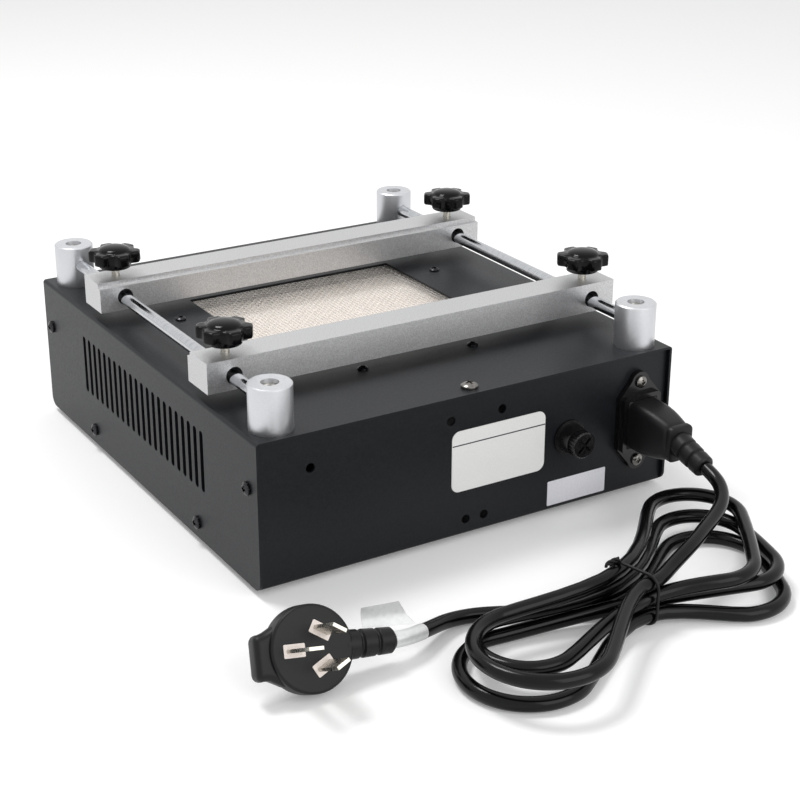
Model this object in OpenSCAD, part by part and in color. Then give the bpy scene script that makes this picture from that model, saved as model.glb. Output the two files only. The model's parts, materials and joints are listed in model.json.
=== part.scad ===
// Bench preheater for circuit boards: a folded steel box with a ceramic infrared heater under a wire mesh,
// two clamp bars on guide rods above it, controls at the front and a mains lead at the rear.
// X runs across the two vented sides, the front panel faces -Y, and left is -X as the user sees it.

/* [Enclosure] */
// Width of the cover across its vented sides
body_w = 220; // [214:1:240]
// Depth of the cover from front edge to rear edge
body_d = 245; // [240:1:270]
// Height of the cover's sides
cover_h = 70; // [68:1:80]
// Thickness of the folded steel sheet
sheet_t = 1.2; // [1:0.1:1.5]
// Outer radius of the folds
bend_r = 1.6; // [1.5:0.1:3]
// Radius on the lower corners of the cover's sides
corner_r = 5; // [1:0.5:6]
// How far the front and rear panels stand back from the cover's edge
panel_inset = 2.2; // [1:0.1:4]
// How far the cover hangs below the chassis floor
cover_drop = 0; // [0:0.1:1]
// Depth of the screw flanges on the chassis
flange_d = 13; // [11:0.5:16]

/* [Feet] */
// Height of a rubber foot under the chassis floor
foot_h = 3; // [3:0.5:10]
// Diameter of a rubber foot
foot_d = 15; // [12:0.5:20]
// Distance from a foot's centre to the cover's side
foot_inset_x = 26; // [18:1:40]
// Distance from a foot's centre to the cover's front or rear edge
foot_inset_y = 17.5; // [16:0.5:30]

/* [Vents] */
// Number of slots in each side
vent_n = 22; // [4:1:26]
// Distance from slot to slot
vent_pitch = 6.5; // [5:0.5:8]
// Width of a slot
vent_w = 3.4; // [1.5:0.1:4]
// Height of a slot
vent_h = 29.8; // [10:0.2:34]
// Lower end of the slots above the cover's bottom edge
vent_z = 26; // [22:1:30]

/* [Heater] */
// Width of the heater window
window_w = 116; // [100:1:124]
// Depth of the heater window
window_d = 116; // [100:1:120]
// How far the heater lies behind the middle of the cover
heater_y = 4; // [0:0.5:6]
// Distance from wire to wire in the mesh
mesh_pitch = 2; // [2:0.5:5]
// Thickness of a mesh wire
wire_d = 0.3; // [0.3:0.05:0.6]
// Inner width of the heater tray
tray_w = 132; // [130:1:136]
// Inner depth of the heater tray
tray_d = 124; // [122:1:126]
// Depth of the tray under its flange
tray_h = 30; // [26:1:32]
// Thickness of the ceramic plate
plate_h = 14; // [8:1:16]
// Distance from the mesh down to the ceramic plate
plate_drop = 5; // [3:0.5:6]

/* [Clamp frame] */
// Distance from a guide rod to the cover's side
rail_inset = 13.5; // [12:0.5:16]
// Distance from a post's axis to the cover's front or rear edge
post_inset = 12.3; // [11:0.1:16]
// Diameter of a post
post_d = 19.5; // [17:0.5:22]
// Height of a post
post_h = 21; // [19:0.5:30]
// Height of the guide rods above the cover
rod_rise = 11.2; // [10:0.1:11.4]
// Diameter of a guide rod
rod_d = 6; // [5:0.5:6]
// How far a clamp bar reaches past the axis of a guide rod
bar_over = 13; // [9:0.5:16]
// Depth of a clamp bar from front to rear
bar_d = 19.6; // [17:0.2:24]
// Height of a clamp bar
bar_h = 14.4; // [13.4:0.2:18]
// Gap between the cover and a clamp bar
bar_gap = 5.6; // [4:0.1:6]
// Depth of the ledge that the circuit board rests on
ledge_w = 2.5; // [1:0.1:4]
// Height of that ledge under the bar's top
ledge_h = 2.3; // [1:0.1:3]
// Diameter of the bars' bores for the rods
bore_d = 8; // [7:0.2:8.4]
// Resting place of the front bar's middle, from the middle of the cover
bar_front_y = -53; // [-60:1:-40]
// Resting place of the rear bar's middle
bar_rear_y = 66.7; // [50:0.1:70]
// Diameter of a clamp stud
stud_d = 4; // [3:0.5:5]
// Gap between a bar's top and its knob
knob_gap = 4.5; // [4:0.1:9]
// Diameter of a knob over its lobes
knob_d = 25; // [21:0.5:28]

/* [Front controls] */
// Distance from the power switch to the cover's side
switch_inset = 30; // [26:1:50]
// Height of the controls above the chassis floor
control_z = 35; // [30:1:38]
// Width of the display window
display_w = 44; // [36:1:50]
// Height of the display window
display_h = 20; // [16:1:24]
// Place of the first button across the front
button_x = 40; // [38:1:46]
// Distance between the two buttons
button_pitch = 20; // [14:1:22]
// Diameter of a button
button_d = 8; // [6:0.5:10]
// Travel of a button
button_travel = 0.6; // [0.3:0.1:0.8]

/* [Mains side] */
// Distance from the mains inlet's middle to the cover's side
inlet_inset = 18.6; // [18:0.2:26]
// Height of the inlet's middle above the chassis floor
inlet_z = 36.1; // [34:0.1:40]
// Distance between the inlet's two screws
inlet_pitch = 40; // [38:0.5:42]
// Distance from the mains inlet to the fuse holder
fuse_pitch = 38.8; // [36:0.2:46]
// Height of the fuse holder's axis above the chassis floor
fuse_z = 35.7; // [28:0.1:42]
// Diameter of the fuse holder's collar
collar_d = 14.4; // [13.8:0.1:16]
// How far the fuse cap stands out from the rear panel
fuse_out = 12.5; // [12:0.5:18]
// Diameter of the mains cord
cord_d = 6.4; // [6:0.1:7]

/* [Hidden] */
$fn = 48;

// Clearances: sheets and seats, screws in their holes, sliding and turning fits,
// and how far a cutter overshoots
fit = 0.15;
screw_fit = 0.15;
run_fit = 0.05;
over = 1;

paint = "#2d2f32";
bright = "#d9dade";
chrome_tone = "#c9ccd0";
black_plastic = "#1c1c1e";
nickel = "#b9b9b4";
board_green = "#2f6b45";
galvanised = "#a8acb0";

// Heights
floor_z = foot_h;
cover_z = foot_h - cover_drop;
top_z = cover_z + cover_h;
under_z = top_z - sheet_t;
floor_top = floor_z + sheet_t;
panel_top = under_z - fit;

// Half widths and panel faces
side_in = body_w / 2 - sheet_t;
chassis_x = side_in - fit;
panel_y = body_d / 2 - panel_inset;
panel_in = panel_y - sheet_t;

// The origin lies under the middle of the whole object, between the rocker's bezel and the fuse cap
bezel_t = 2;
rocker_proud = 1.2;
body_y = (bezel_t + rocker_proud - fuse_out) / 2;

// Screws: head diameter, head height, shank diameter, length under the head
side_screw = [6.2, 2.2, 3, 6];
top_screw = [8, 2.6, 4, 6];
heater_screw = [5.2, 1.6, 2.5, 4.5];
foot_screw = [6, 1.2, 3, 5.5];
foot_screw_sink = 0.4;
inlet_screw = [5.8, 2, 3, 9];
dome_ratio = 0.8;
cross_w = 1.1;
cross_depth = 1;
side_screw_inset = 9.1;
side_screw_rise = 46.6;
side_screw_y = body_d / 2 - side_screw_inset;
side_screw_z = cover_z + side_screw_rise;
lower_screw_y = 60.7;
lower_screw_rise = 7.8;
lower_screw_z = cover_z + lower_screw_rise;
lower_flange_l = 150;
lower_flange_h = 13;
flange_gap = 3;
tab_w = 60;
top_screw_inset = 7.1;
top_screw_y = body_d / 2 - top_screw_inset;

// Heater stack under the cover
mesh_gap = 0.1;
mesh_h = 2 * wire_d + mesh_gap;
tray_t = 0.8;
tray_flange = 11;
tray_top = under_z - mesh_h;
tray_floor = tray_top - tray_h + tray_t;
plate_gap = 3;
plate_r = 3;
window_r = 1;
plate_top = tray_top - plate_drop;
heater_screw_x = tray_w / 2 + tray_t + tray_flange / 2 + 1.3;
heater_screw_y = tray_d / 2 + tray_t + tray_flange / 2 + 0.2;
heater_side_y = 34.3;
heater_end_x = 30;
heater_screw_at = [
    for (s = [-1, 1]) each [
        [s * heater_screw_x, -heater_side_y], [s * heater_screw_x, heater_side_y],
        [-heater_end_x, s * heater_screw_y], [heater_end_x, s * heater_screw_y]
    ]
];
probe_d = 3;
probe_l = 60;
probe_in = 38;

// Clamp frame
rail_x = body_w / 2 - rail_inset;
post_y = body_d / 2 - post_inset;
bar_l = 2 * (rail_x + bar_over);
rod_z = top_z + rod_rise;
socket_depth = 6.5;
head_bore_d = 8;
head_bore_h = 6;
post_screw_d = 4;
post_head_d = 7;
post_head_h = 4;
hex_key_d = 3.4;
nut_d = 8.1;
nut_h = 3.2;
edge = 0.6;
rod_l = 2 * (post_y - post_d / 2 + socket_depth - fit);
bar_z = top_z + bar_gap;
bar_top = bar_z + bar_h;
bore_z = rod_z + (bore_d - rod_d) / 2 - run_fit;
stud_tip = rod_z + rod_d / 2 + run_fit;
knob_z = bar_top + knob_gap;
knob_bore_h = 6;
knob_hub_d = 15.5;
knob_lobes = 6;
lobe_z = 2.7;
lobe_h = 5.8;
scallop_d = 8.4;
dome_h = 2.2;
knob_turned = 29;

// Front controls
switch_x = switch_inset - body_w / 2;
switch_w = 15;
switch_h = 21;
switch_depth = 16;
switch_wall = 1.2;
rocker_r = 8;
rocker_w = 10;
rocker_tilt = 9;
control_height = floor_z + control_z;
board_t = 1.6;
display_gap = 9;
display_x = 0;
pane_t = 1;
display_left = display_x - display_w / 2 - 14;
display_right = button_x + button_pitch + 16;
display_board_w = display_right - display_left;
display_board_x = (display_left + display_right) / 2;
display_board_h = 34;
board_face = -panel_in + display_gap;
tact = 6;
tact_h = 3.5;
plunger_h = 1.5;
cap_flange = 2;
cap_out = 2.5;
control_board_w = 110;
control_board_d = 44;
control_board_x = 40;
control_board_y = -86;
standoff_h = 8;
standoff_d = 6;
standoff_hole = 3;
board_margin = 5;
board_z = floor_top + standoff_h;
sink_x = -22;
sink_y = 4;

// Mains side
inlet_x = inlet_inset - body_w / 2;
fuse_x = inlet_x + fuse_pitch;
inlet_height = floor_z + inlet_z;
inlet_flange_t = 3;
inlet_rim_h = 2.5;
inlet_rim_t = 2.2;
inlet_w = 19.6;
inlet_h = 27.2;
inlet_depth = 17;
cavity_w = 16.9;
cavity_h = 24.4;
cavity_depth = 16.5;
pin_w = 2;
pin_h = 4;
pin_reach = 13;
pin_tail = 9;
pin_at = [[-2, -7], [-2, 7], [2, 0]];
fuse_height = floor_z + fuse_z;
barrel_d = 12;
barrel_l = 28;
collar_l = 8;
fuse_bore_d = 10.4;
fuse_d = 5.2;
fuse_l = 20;
cap_d = 12.8;
fuse_flange_d = 17;
fuse_flange_t = 1.2;
nut_af = 18;
fuse_nut_h = 4;
spare_holes = [[-14.7, 58], [12.6, 58], [-5.9, 7.5], [4, 7.5], [83.5, 52.4]];
spare_hole_d = 4.4;

// Plug-in connector, measured from the face of the inlet's flange
nose_fit = 0.2;
nose_l = 15.6 + inlet_rim_h;
shell_l = 26.3;
shell_h = cavity_h - 2 * nose_fit;
shell_w = cavity_w - 2 * nose_fit;
shell_straight = 6;
shell_arc = 60;
shell_plan_arc = 120;
grip_t = 2.3;
grip_h = 17.4;
grip_w = 13.6;
grip_r = 3;
relief_l = 19;
relief_d = 12.2;
relief_end_d = 10.6;
relief_tilt = 16;
relief_rings = 2;
groove_w = 1.6;
groove_depth = 1.1;

// Cord routes, from the middle of the cover
tube_sides = 10;
lead_route = [
    [-91.4, 171.9, 34.0], [-91.3, 176.6, 32.7], [-90.4, 182.2, 31.2], [-87.8, 187.6, 29.9], [-83.4, 193.0, 28.6],
    [-77.4, 197.8, 27.4], [-69.7, 202.3, 26.3], [-62.4, 206.2, 25.6], [-53.8, 210.8, 24.6], [-44.2, 215.0, 23.1],
    [-34.2, 218.8, 21.0], [-26.0, 222.3, 20.1]
];
tail_route = [
    [-14.4, 208.8, 5.4], [-4.9, 207.2, 5.2], [12.1, 198.9, 3.7], [27.2, 191.2, 3.3], [41.9, 185.2, 3.6],
    [56.8, 185.6, 5.2], [66.0, 189.3, 7.0], [75.0, 193.0, 8.9], [82.0, 194.9, 10.1], [89.3, 195.1, 11.1]
];

// Hank of three loops on each side of its waist, from the floor up: radius of each loop's turns
// and the places of the turns
hank_waist = [-16.4, 216.6];
hank_turn = 13.48;
left_loops = [[26, [65.5, -2]], [20.4, [59, -7.5]], [27, [65, 6]]];
right_loops = [
    [21.8, [-62, -4], [-46, 18]], [20.6, [-65.5, -12.5], [-54, 10]], [20.7, [-69.5, -20], [-38.5, 8]]
];
loop_rise = cord_d + 0.55;
bundle_h = len(left_loops) * loop_rise;
bundle_l = 16;
waist_half = 1.5 * loop_rise + 1.4;
tie_d = 2;

// Plug: its face looks along +Z of its own frame, which leans back from the floor
plug_at = [124.8, 197.1, 19.3];
plug_lean = -60;
plug_roll = -9.5;
plug_d = 35;
plug_t = 11;
plug_axis = -6;
plug_grip = [[2, -17], [18, -9.7], [21.5, -9.7], [23.5, -11], [24, 9], [21.5, 7.7], [18, 7.7], [2, 17]];
plug_grip_t = 10;
plug_relief_start = 15;
plug_relief_end = 37;
blade_w = 6.4;
blade_t = 1.5;
blade_l = 18;
earth_l = 21;
blade_root = 6;
blade_r = 7.9;

module at_body() {
    translate([0, body_y, 0]) children();
}

// Flat rectangle with round corners, centred
module rounded_rect(w, h, r) {
    square([w - 2 * r, h], center = true);
    square([w, h - 2 * r], center = true);
    for (x = [-1, 1], y = [-1, 1])
        translate([x * (w / 2 - r), y * (h / 2 - r)]) circle(r);
}

// Pan-head screw with a cross recess; the head stands on z = 0 and the shank points down
module pan_screw(s) {
    dome_r = s[0] * dome_ratio;
    difference() {
        rotate_extrude()
            intersection() {
                square([s[0] / 2, s[1]]);
                translate([0, s[1] - dome_r]) circle(dome_r);
            }
        for (a = [0, 90])
            rotate(a)
                translate([-s[0] / 4, -cross_w / 2, s[1] - cross_depth])
                    cube([s[0] / 2, cross_w, cross_depth + over]);
    }
    translate([0, 0, -s[3]]) cylinder(h = s[3], d = s[2]);
}

module screw_hole(s) {
    cylinder(h = 4 * s[3], d = s[2] + 2 * screw_fit, center = true);
}

// The eight places of the side screws, each with the head facing out
module at_side_screws() {
    for (x = [-1, 1], y = [-1, 1]) {
        translate([x * body_w / 2, y * side_screw_y, side_screw_z]) rotate([0, x * 90, 0]) children();
        translate([x * body_w / 2, y * lower_screw_y, lower_screw_z]) rotate([0, x * 90, 0]) children();
    }
}

module at_top_screws() {
    translate([0, top_screw_y, top_z]) children();
}

module at_heater_screws() {
    for (p = heater_screw_at) translate([p[0], p[1] + heater_y, top_z]) children();
}

module at_feet() {
    for (x = [-1, 1], y = [-1, 1])
        translate([x * (body_w / 2 - foot_inset_x), y * (body_d / 2 - foot_inset_y), 0]) children();
}

module at_posts() {
    for (x = [-1, 1], y = [-1, 1]) translate([x * rail_x, y * post_y, top_z]) children();
}

// Inverted U of the cover, in X and Z
module cover_profile() {
    difference() {
        union() {
            translate([-body_w / 2, cover_z]) square([body_w, cover_h - bend_r]);
            translate([bend_r - body_w / 2, top_z - 2 * bend_r]) square([body_w - 2 * bend_r, 2 * bend_r]);
            for (x = [-1, 1]) translate([x * (body_w / 2 - bend_r), top_z - bend_r]) circle(bend_r);
        }
        translate([-side_in, cover_z - over]) square([2 * side_in, under_z - cover_z + over]);
    }
}

// U of the chassis, in Y and Z
module chassis_profile() {
    difference() {
        union() {
            translate([-panel_y, floor_z + bend_r]) square([2 * panel_y, panel_top - floor_z - bend_r]);
            translate([bend_r - panel_y, floor_z]) square([2 * (panel_y - bend_r), 2 * bend_r]);
            for (y = [-1, 1]) translate([y * (panel_y - bend_r), floor_z + bend_r]) circle(bend_r);
        }
        translate([-panel_in, floor_top]) square([2 * panel_in, panel_top]);
    }
}

module vent_slot() {
    translate([0, 0, vent_w / 2])
        rotate([90, 0, 90])
            linear_extrude(4 * sheet_t, center = true) {
                translate([-vent_w / 2, 0]) square([vent_w, vent_h - vent_w]);
                circle(d = vent_w);
                translate([0, vent_h - vent_w]) circle(d = vent_w);
            }
}

module cover() {
    color(paint)
        at_body()
            difference() {
                rotate([90, 0, 0]) linear_extrude(body_d, center = true) cover_profile();
                for (y = [-1, 1])
                    translate([0, y * (body_d / 2 - corner_r), cover_z + corner_r])
                        rotate([90, 0, 90])
                            linear_extrude(body_w + 2 * over, center = true)
                                difference() {
                                    translate([y > 0 ? 0 : -corner_r - over, -corner_r - over])
                                        square(corner_r + over);
                                    circle(corner_r);
                                }
                for (x = [-1, 1], i = [0 : vent_n - 1])
                    translate([
                        x * (body_w / 2 - sheet_t / 2),
                        (i - (vent_n - 1) / 2) * vent_pitch,
                        cover_z + vent_z
                    ])
                        vent_slot();
                translate([0, heater_y, under_z - over])
                    linear_extrude(sheet_t + 2 * over) rounded_rect(window_w, window_d, window_r);
                at_side_screws() screw_hole(side_screw);
                at_top_screws() screw_hole(top_screw);
                at_heater_screws() screw_hole(heater_screw);
                at_posts() cylinder(h = 4 * sheet_t, d = post_screw_d + 2 * screw_fit, center = true);
            }
}

module chassis_flanges() {
    for (x = [-1, 1], y = [-1, 1])
        translate([
            x > 0 ? chassis_x - sheet_t : -chassis_x,
            y > 0 ? panel_y - flange_d : -panel_y,
            floor_top + flange_gap
        ])
            cube([sheet_t, flange_d, panel_top - floor_top - 2 * flange_gap]);
    for (x = [-1, 1])
        translate([x > 0 ? chassis_x - sheet_t : -chassis_x, -lower_flange_l / 2, floor_z])
            cube([sheet_t, lower_flange_l, lower_flange_h]);
    for (y = [-1, 1])
        translate([-tab_w / 2, y > 0 ? panel_y - flange_d : -panel_y, panel_top - sheet_t])
            cube([tab_w, flange_d, sheet_t]);
}

module rear_openings() {
    translate([inlet_x, panel_y, inlet_height]) {
        cube([inlet_w + 2 * fit, 4 * sheet_t, inlet_h + 2 * fit], center = true);
        for (z = [-1, 1])
            translate([0, 0, z * inlet_pitch / 2]) rotate([-90, 0, 0]) screw_hole(inlet_screw);
    }
    translate([fuse_x, panel_y, fuse_height])
        rotate([90, 0, 0]) cylinder(h = 4 * sheet_t, d = barrel_d + 2 * fit, center = true);
    for (p = spare_holes)
        translate([p[0], panel_y, floor_z + p[1]])
            rotate([90, 0, 0]) cylinder(h = 4 * sheet_t, d = spare_hole_d, center = true);
}

module front_openings() {
    translate([switch_x, -panel_y, control_height])
        cube(
            [switch_w - 2 * bezel_t + 2 * fit, 4 * sheet_t, switch_h - 2 * bezel_t + 2 * fit],
            center = true
        );
    translate([display_x, -panel_y, control_height])
        cube([display_w, 4 * sheet_t, display_h], center = true);
    for (i = [0, 1])
        translate([button_x + i * button_pitch, -panel_y, control_height])
            rotate([90, 0, 0]) cylinder(h = 4 * sheet_t, d = button_d + 2 * fit, center = true);
}

module chassis() {
    color(paint)
        at_body()
            difference() {
                union() {
                    rotate([90, 0, 90]) linear_extrude(2 * chassis_x, center = true) chassis_profile();
                    chassis_flanges();
                }
                at_side_screws() screw_hole(side_screw);
                at_top_screws() screw_hole(top_screw);
                at_feet() translate([0, 0, floor_z]) screw_hole(foot_screw);
                rear_openings();
                front_openings();
            }
}

module rubber_feet() {
    taper = 0.8;
    recess_h = foot_screw[1] + foot_screw_sink;
    color("#202022")
        at_body()
            at_feet()
                rotate_extrude()
                    polygon([
                        [foot_screw[2] / 2 + screw_fit, recess_h], [foot_screw[0] / 2 + fit, recess_h],
                        [foot_screw[0] / 2 + fit, 0], [foot_d / 2 - taper, 0], [foot_d / 2, taper],
                        [foot_d / 2, floor_z], [foot_screw[2] / 2 + screw_fit, floor_z]
                    ]);
}

module foot_screws() {
    color(nickel)
        at_body()
            at_feet()
                translate([0, 0, foot_screw[1] + foot_screw_sink]) rotate([180, 0, 0]) pan_screw(foot_screw);
}

module side_screws() {
    color(black_plastic) at_body() at_side_screws() pan_screw(side_screw);
}

module top_screws() {
    color(nickel) at_body() at_top_screws() pan_screw(top_screw);
}

module heater_screws() {
    color(black_plastic) at_body() at_heater_screws() pan_screw(heater_screw);
}

// Turned post; its socket for the rod's end faces the other post, towards -y times its side
module post(x, y) {
    color(bright)
        at_body()
            translate([x * rail_x, y * post_y, top_z])
                difference() {
                    rotate_extrude()
                        polygon([
                            [0, 0], [post_d / 2, 0], [post_d / 2, post_h - edge],
                            [post_d / 2 - edge, post_h], [0, post_h]
                        ]);
                    translate([0, 0, -over])
                        cylinder(h = post_h + 2 * over, d = post_screw_d + 2 * screw_fit);
                    translate([0, 0, post_h - head_bore_h])
                        cylinder(h = head_bore_h + over, d = head_bore_d);
                    translate([0, -y * (post_d / 2 - socket_depth), rod_rise])
                        rotate([y * 90, 0, 0]) cylinder(h = post_d, d = rod_d + 2 * run_fit);
                }
}

module post_front_left() { post(-1, -1); }
module post_front_right() { post(1, -1); }
module post_rear_left() { post(-1, 1); }
module post_rear_right() { post(1, 1); }

module post_screws() {
    seat = post_h - head_bore_h;
    shank = seat + sheet_t + nut_h + over;
    color(nickel)
        at_body()
            at_posts()
                translate([0, 0, seat]) {
                    difference() {
                        cylinder(h = post_head_h, d = post_head_d);
                        translate([0, 0, post_head_h / 2])
                            cylinder(h = post_head_h, d = hex_key_d, $fn = 6);
                    }
                    translate([0, 0, -shank]) cylinder(h = shank, d = post_screw_d);
                }
}

module post_nuts() {
    color(nickel)
        at_body()
            at_posts()
                translate([0, 0, -sheet_t - nut_h])
                    difference() {
                        cylinder(h = nut_h, d = nut_d, $fn = 6);
                        cylinder(h = 4 * nut_h, d = post_screw_d + 2 * run_fit, center = true);
                    }
}

module guide_rod(x) {
    color(chrome_tone)
        at_body()
            translate([x * rail_x, 0, rod_z])
                rotate([90, 0, 0]) cylinder(h = rod_l, d = rod_d, center = true);
}

module guide_rod_left() { guide_rod(-1); }
module guide_rod_right() { guide_rod(1); }

// Clamp bar with its ledge towards the other bar; inward is 1 for the front bar and -1 for the rear bar
module clamp_bar(y, inward) {
    far = inward * bar_d / 2;
    step = inward * (bar_d / 2 - ledge_w);
    color(bright)
        at_body()
            difference() {
                translate([0, y, bar_z])
                    rotate([90, 0, 90])
                        linear_extrude(bar_l, center = true)
                            polygon([
                                [-far, 0], [far, 0], [far, bar_h - ledge_h],
                                [step, bar_h - ledge_h], [step, bar_h], [-far, bar_h]
                            ]);
                for (x = [-1, 1]) {
                    translate([x * rail_x, y, bore_z])
                        rotate([90, 0, 0]) cylinder(h = bar_d + 2 * over, d = bore_d, center = true);
                    translate([x * rail_x, y - inward * ledge_w / 2, bore_z])
                        cylinder(h = bar_h, d = stud_d + 2 * run_fit);
                }
            }
}

module clamp_bar_front() { clamp_bar(bar_front_y, 1); }
module clamp_bar_rear() { clamp_bar(bar_rear_y, -1); }

// Place of a stud's axis: side across X, and which bar it is on
module at_stud(x, y, inward) {
    at_body() translate([x * rail_x, y - inward * ledge_w / 2, 0]) children();
}

module stud() {
    color(nickel)
        translate([0, 0, stud_tip])
            cylinder(h = knob_z + knob_bore_h - fit - stud_tip, d = stud_d);
}

module stud_front_left() { at_stud(-1, bar_front_y, 1) stud(); }
module stud_front_right() { at_stud(1, bar_front_y, 1) stud(); }
module stud_rear_left() { at_stud(-1, bar_rear_y, -1) stud(); }
module stud_rear_right() { at_stud(1, bar_rear_y, -1) stud(); }

// Star knob: scalloped lobes on a round hub with a domed top
module knob() {
    dome_r = (knob_hub_d * knob_hub_d / 4 + dome_h * dome_h) / (2 * dome_h);
    color(black_plastic)
        translate([0, 0, knob_z])
            rotate(knob_turned)
            difference() {
                union() {
                    cylinder(h = lobe_z + lobe_h, d = knob_hub_d);
                    intersection() {
                        translate([0, 0, lobe_z])
                            linear_extrude(lobe_h)
                                difference() {
                                    circle(d = knob_d);
                                    for (i = [0 : knob_lobes - 1])
                                        rotate((i + 1 / 2) * 360 / knob_lobes)
                                            translate([knob_d / 2 + scallop_d / 5, 0])
                                                circle(d = scallop_d);
                                }
                        translate([0, 0, lobe_z + lobe_h / 2]) sphere(r = knob_d / 2);
                    }
                    rotate_extrude()
                        intersection() {
                            translate([0, lobe_z + lobe_h]) square([knob_hub_d / 2, dome_h]);
                            translate([0, lobe_z + lobe_h + dome_h - dome_r]) circle(dome_r);
                        }
                }
                translate([0, 0, -over]) cylinder(h = knob_bore_h + over, d = stud_d + 2 * run_fit);
            }
}

module knob_front_left() { at_stud(-1, bar_front_y, 1) knob(); }
module knob_front_right() { at_stud(1, bar_front_y, 1) knob(); }
module knob_rear_left() { at_stud(-1, bar_rear_y, -1) knob(); }
module knob_rear_right() { at_stud(1, bar_rear_y, -1) knob(); }

// One layer of the mesh: a sheet the size of the tray's flange, slotted along X so that only wires stay
module mesh_layer(span, across) {
    n = floor((across - mesh_pitch) / mesh_pitch);
    for (i = [0 : n - 1])
        translate([0, (i - (n - 1) / 2) * mesh_pitch]) square([span, mesh_pitch - wire_d], center = true);
}

module tray_rim() {
    square([tray_w + 2 * (tray_t + tray_flange), tray_d + 2 * (tray_t + tray_flange)], center = true);
}

module heater_mesh() {
    margin = 6;
    color("#8f8a80")
        at_body()
            translate([0, heater_y, tray_top])
                for (layer = [0, 1])
                    translate([0, 0, layer * (wire_d + mesh_gap)])
                        linear_extrude(wire_d)
                            difference() {
                                tray_rim();
                                if (layer == 0) mesh_layer(window_w + margin, window_d + margin);
                                if (layer == 1) rotate(90) mesh_layer(window_d + margin, window_w + margin);
                                for (p = heater_screw_at)
                                    translate(p) circle(d = heater_screw[2] + 2 * screw_fit);
                            }
}

module heater_tray() {
    color(galvanised)
        at_body()
            difference() {
                translate([0, heater_y, tray_top]) {
                    translate([0, 0, -tray_t]) linear_extrude(tray_t) tray_rim();
                    translate([0, 0, -tray_h])
                        linear_extrude(tray_h)
                            square([tray_w + 2 * tray_t, tray_d + 2 * tray_t], center = true);
                }
                translate([0, heater_y, tray_floor])
                    linear_extrude(tray_h) square([tray_w, tray_d], center = true);
                at_heater_screws() screw_hole(heater_screw);
                translate([0, heater_y - tray_d / 2, plate_top - plate_h / 2])
                    rotate([90, 0, 0])
                        cylinder(h = 4 * tray_t, d = probe_d + 2 * fit, center = true);
            }
}

module ceramic_heater() {
    color("#efe4da")
        at_body()
            difference() {
                translate([0, heater_y, plate_top - plate_h])
                    linear_extrude(plate_h)
                        rounded_rect(tray_w - 2 * plate_gap, tray_d - 2 * plate_gap, plate_r);
                translate([0, heater_y - tray_d / 2 + probe_in + fit, plate_top - plate_h / 2])
                    rotate([90, 0, 0]) cylinder(h = probe_l, d = probe_d + 2 * fit);
            }
}

module heater_insulation() {
    color("#f2f0ea")
        at_body()
            translate([0, heater_y, tray_floor])
                linear_extrude(plate_top - plate_h - tray_floor)
                    square([tray_w - 2 * fit, tray_d - 2 * fit], center = true);
}

module thermocouple() {
    crimp_d = 5;
    crimp_l = 8;
    color(nickel)
        at_body()
            translate([0, heater_y - tray_d / 2 + probe_in, plate_top - plate_h / 2])
                rotate([90, 0, 0]) {
                    cylinder(h = probe_l, d = probe_d);
                    translate([0, 0, probe_l - crimp_l]) cylinder(h = crimp_l, d = crimp_d);
                }
}

// The four fixing places of the control board, from its middle
module at_board_corners(w, d) {
    for (x = [-1, 1], y = [-1, 1])
        translate([x * (w / 2 - board_margin), y * (d / 2 - board_margin), 0]) children();
}

module at_control_board() {
    at_body() translate([control_board_x, control_board_y, board_z]) children();
}

module control_board() {
    color(board_green)
        at_control_board()
            difference() {
                linear_extrude(board_t) square([control_board_w, control_board_d], center = true);
                at_board_corners(control_board_w, control_board_d)
                    cylinder(h = 4 * board_t, d = standoff_hole + 2 * fit, center = true);
            }
}

module board_standoffs() {
    peg = board_t + over;
    color(nickel)
        at_control_board()
            at_board_corners(control_board_w, control_board_d) {
                translate([0, 0, -standoff_h]) cylinder(h = standoff_h, d = standoff_d, $fn = 6);
                cylinder(h = peg, d = standoff_hole);
            }
}

module transformer() {
    core_w = 34;
    core_d = 12;
    core_h = 28;
    coil_w = 20;
    coil_d = 26;
    transformer_x = 30;
    core = [core_w, core_d, core_h];
    coil = [coil_w, coil_d, coil_w];
    color("#4a4038")
        at_control_board()
            translate([transformer_x, 0, board_t]) {
                translate([-core[0] / 2, -core[1] / 2, 0]) cube(core);
                translate([-coil[0] / 2, -coil[1] / 2, (core[2] - coil[2]) / 2]) cube(coil);
            }
}

module heatsink() {
    fins = 6;
    fin_t = 1.4;
    fin_pitch = 4;
    base_w = 24;
    base_t = 3;
    base = [base_w, base_t];
    fin_l = 12;
    sink_h = 22;
    color(bright)
        at_control_board()
            translate([sink_x, sink_y, board_t])
                linear_extrude(sink_h) {
                    translate([-base[0] / 2, 0]) square(base);
                    for (i = [0 : fins - 1])
                        translate([(i - (fins - 1) / 2) * fin_pitch - fin_t / 2, 0])
                            square([fin_t, base[1] + fin_l]);
                }
}

module triac() {
    package = [10, 4.4, 15];
    lead = [0.9, 0.6, 4];
    lead_pitch = 2.54;
    color(black_plastic)
        at_control_board()
            translate([sink_x, sink_y - package[1] - fit, board_t]) {
                translate([-package[0] / 2, 0, lead[2]]) cube(package);
                for (i = [-1 : 1])
                    translate([i * lead_pitch - lead[0] / 2, package[1] / 2 - lead[1] / 2, 0])
                        cube([lead[0], lead[1], lead[2] + over]);
            }
}

module at_display_board() {
    at_body() translate([display_board_x, board_face, control_height]) rotate([90, 0, 0]) children();
}

module display_board() {
    color(board_green)
        at_display_board()
            translate([0, 0, -board_t])
                difference() {
                    linear_extrude(board_t) square([display_board_w, display_board_h], center = true);
                    at_board_corners(display_board_w, display_board_h)
                        cylinder(h = 4 * board_t, d = standoff_hole + 2 * fit, center = true);
                }
}

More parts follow.
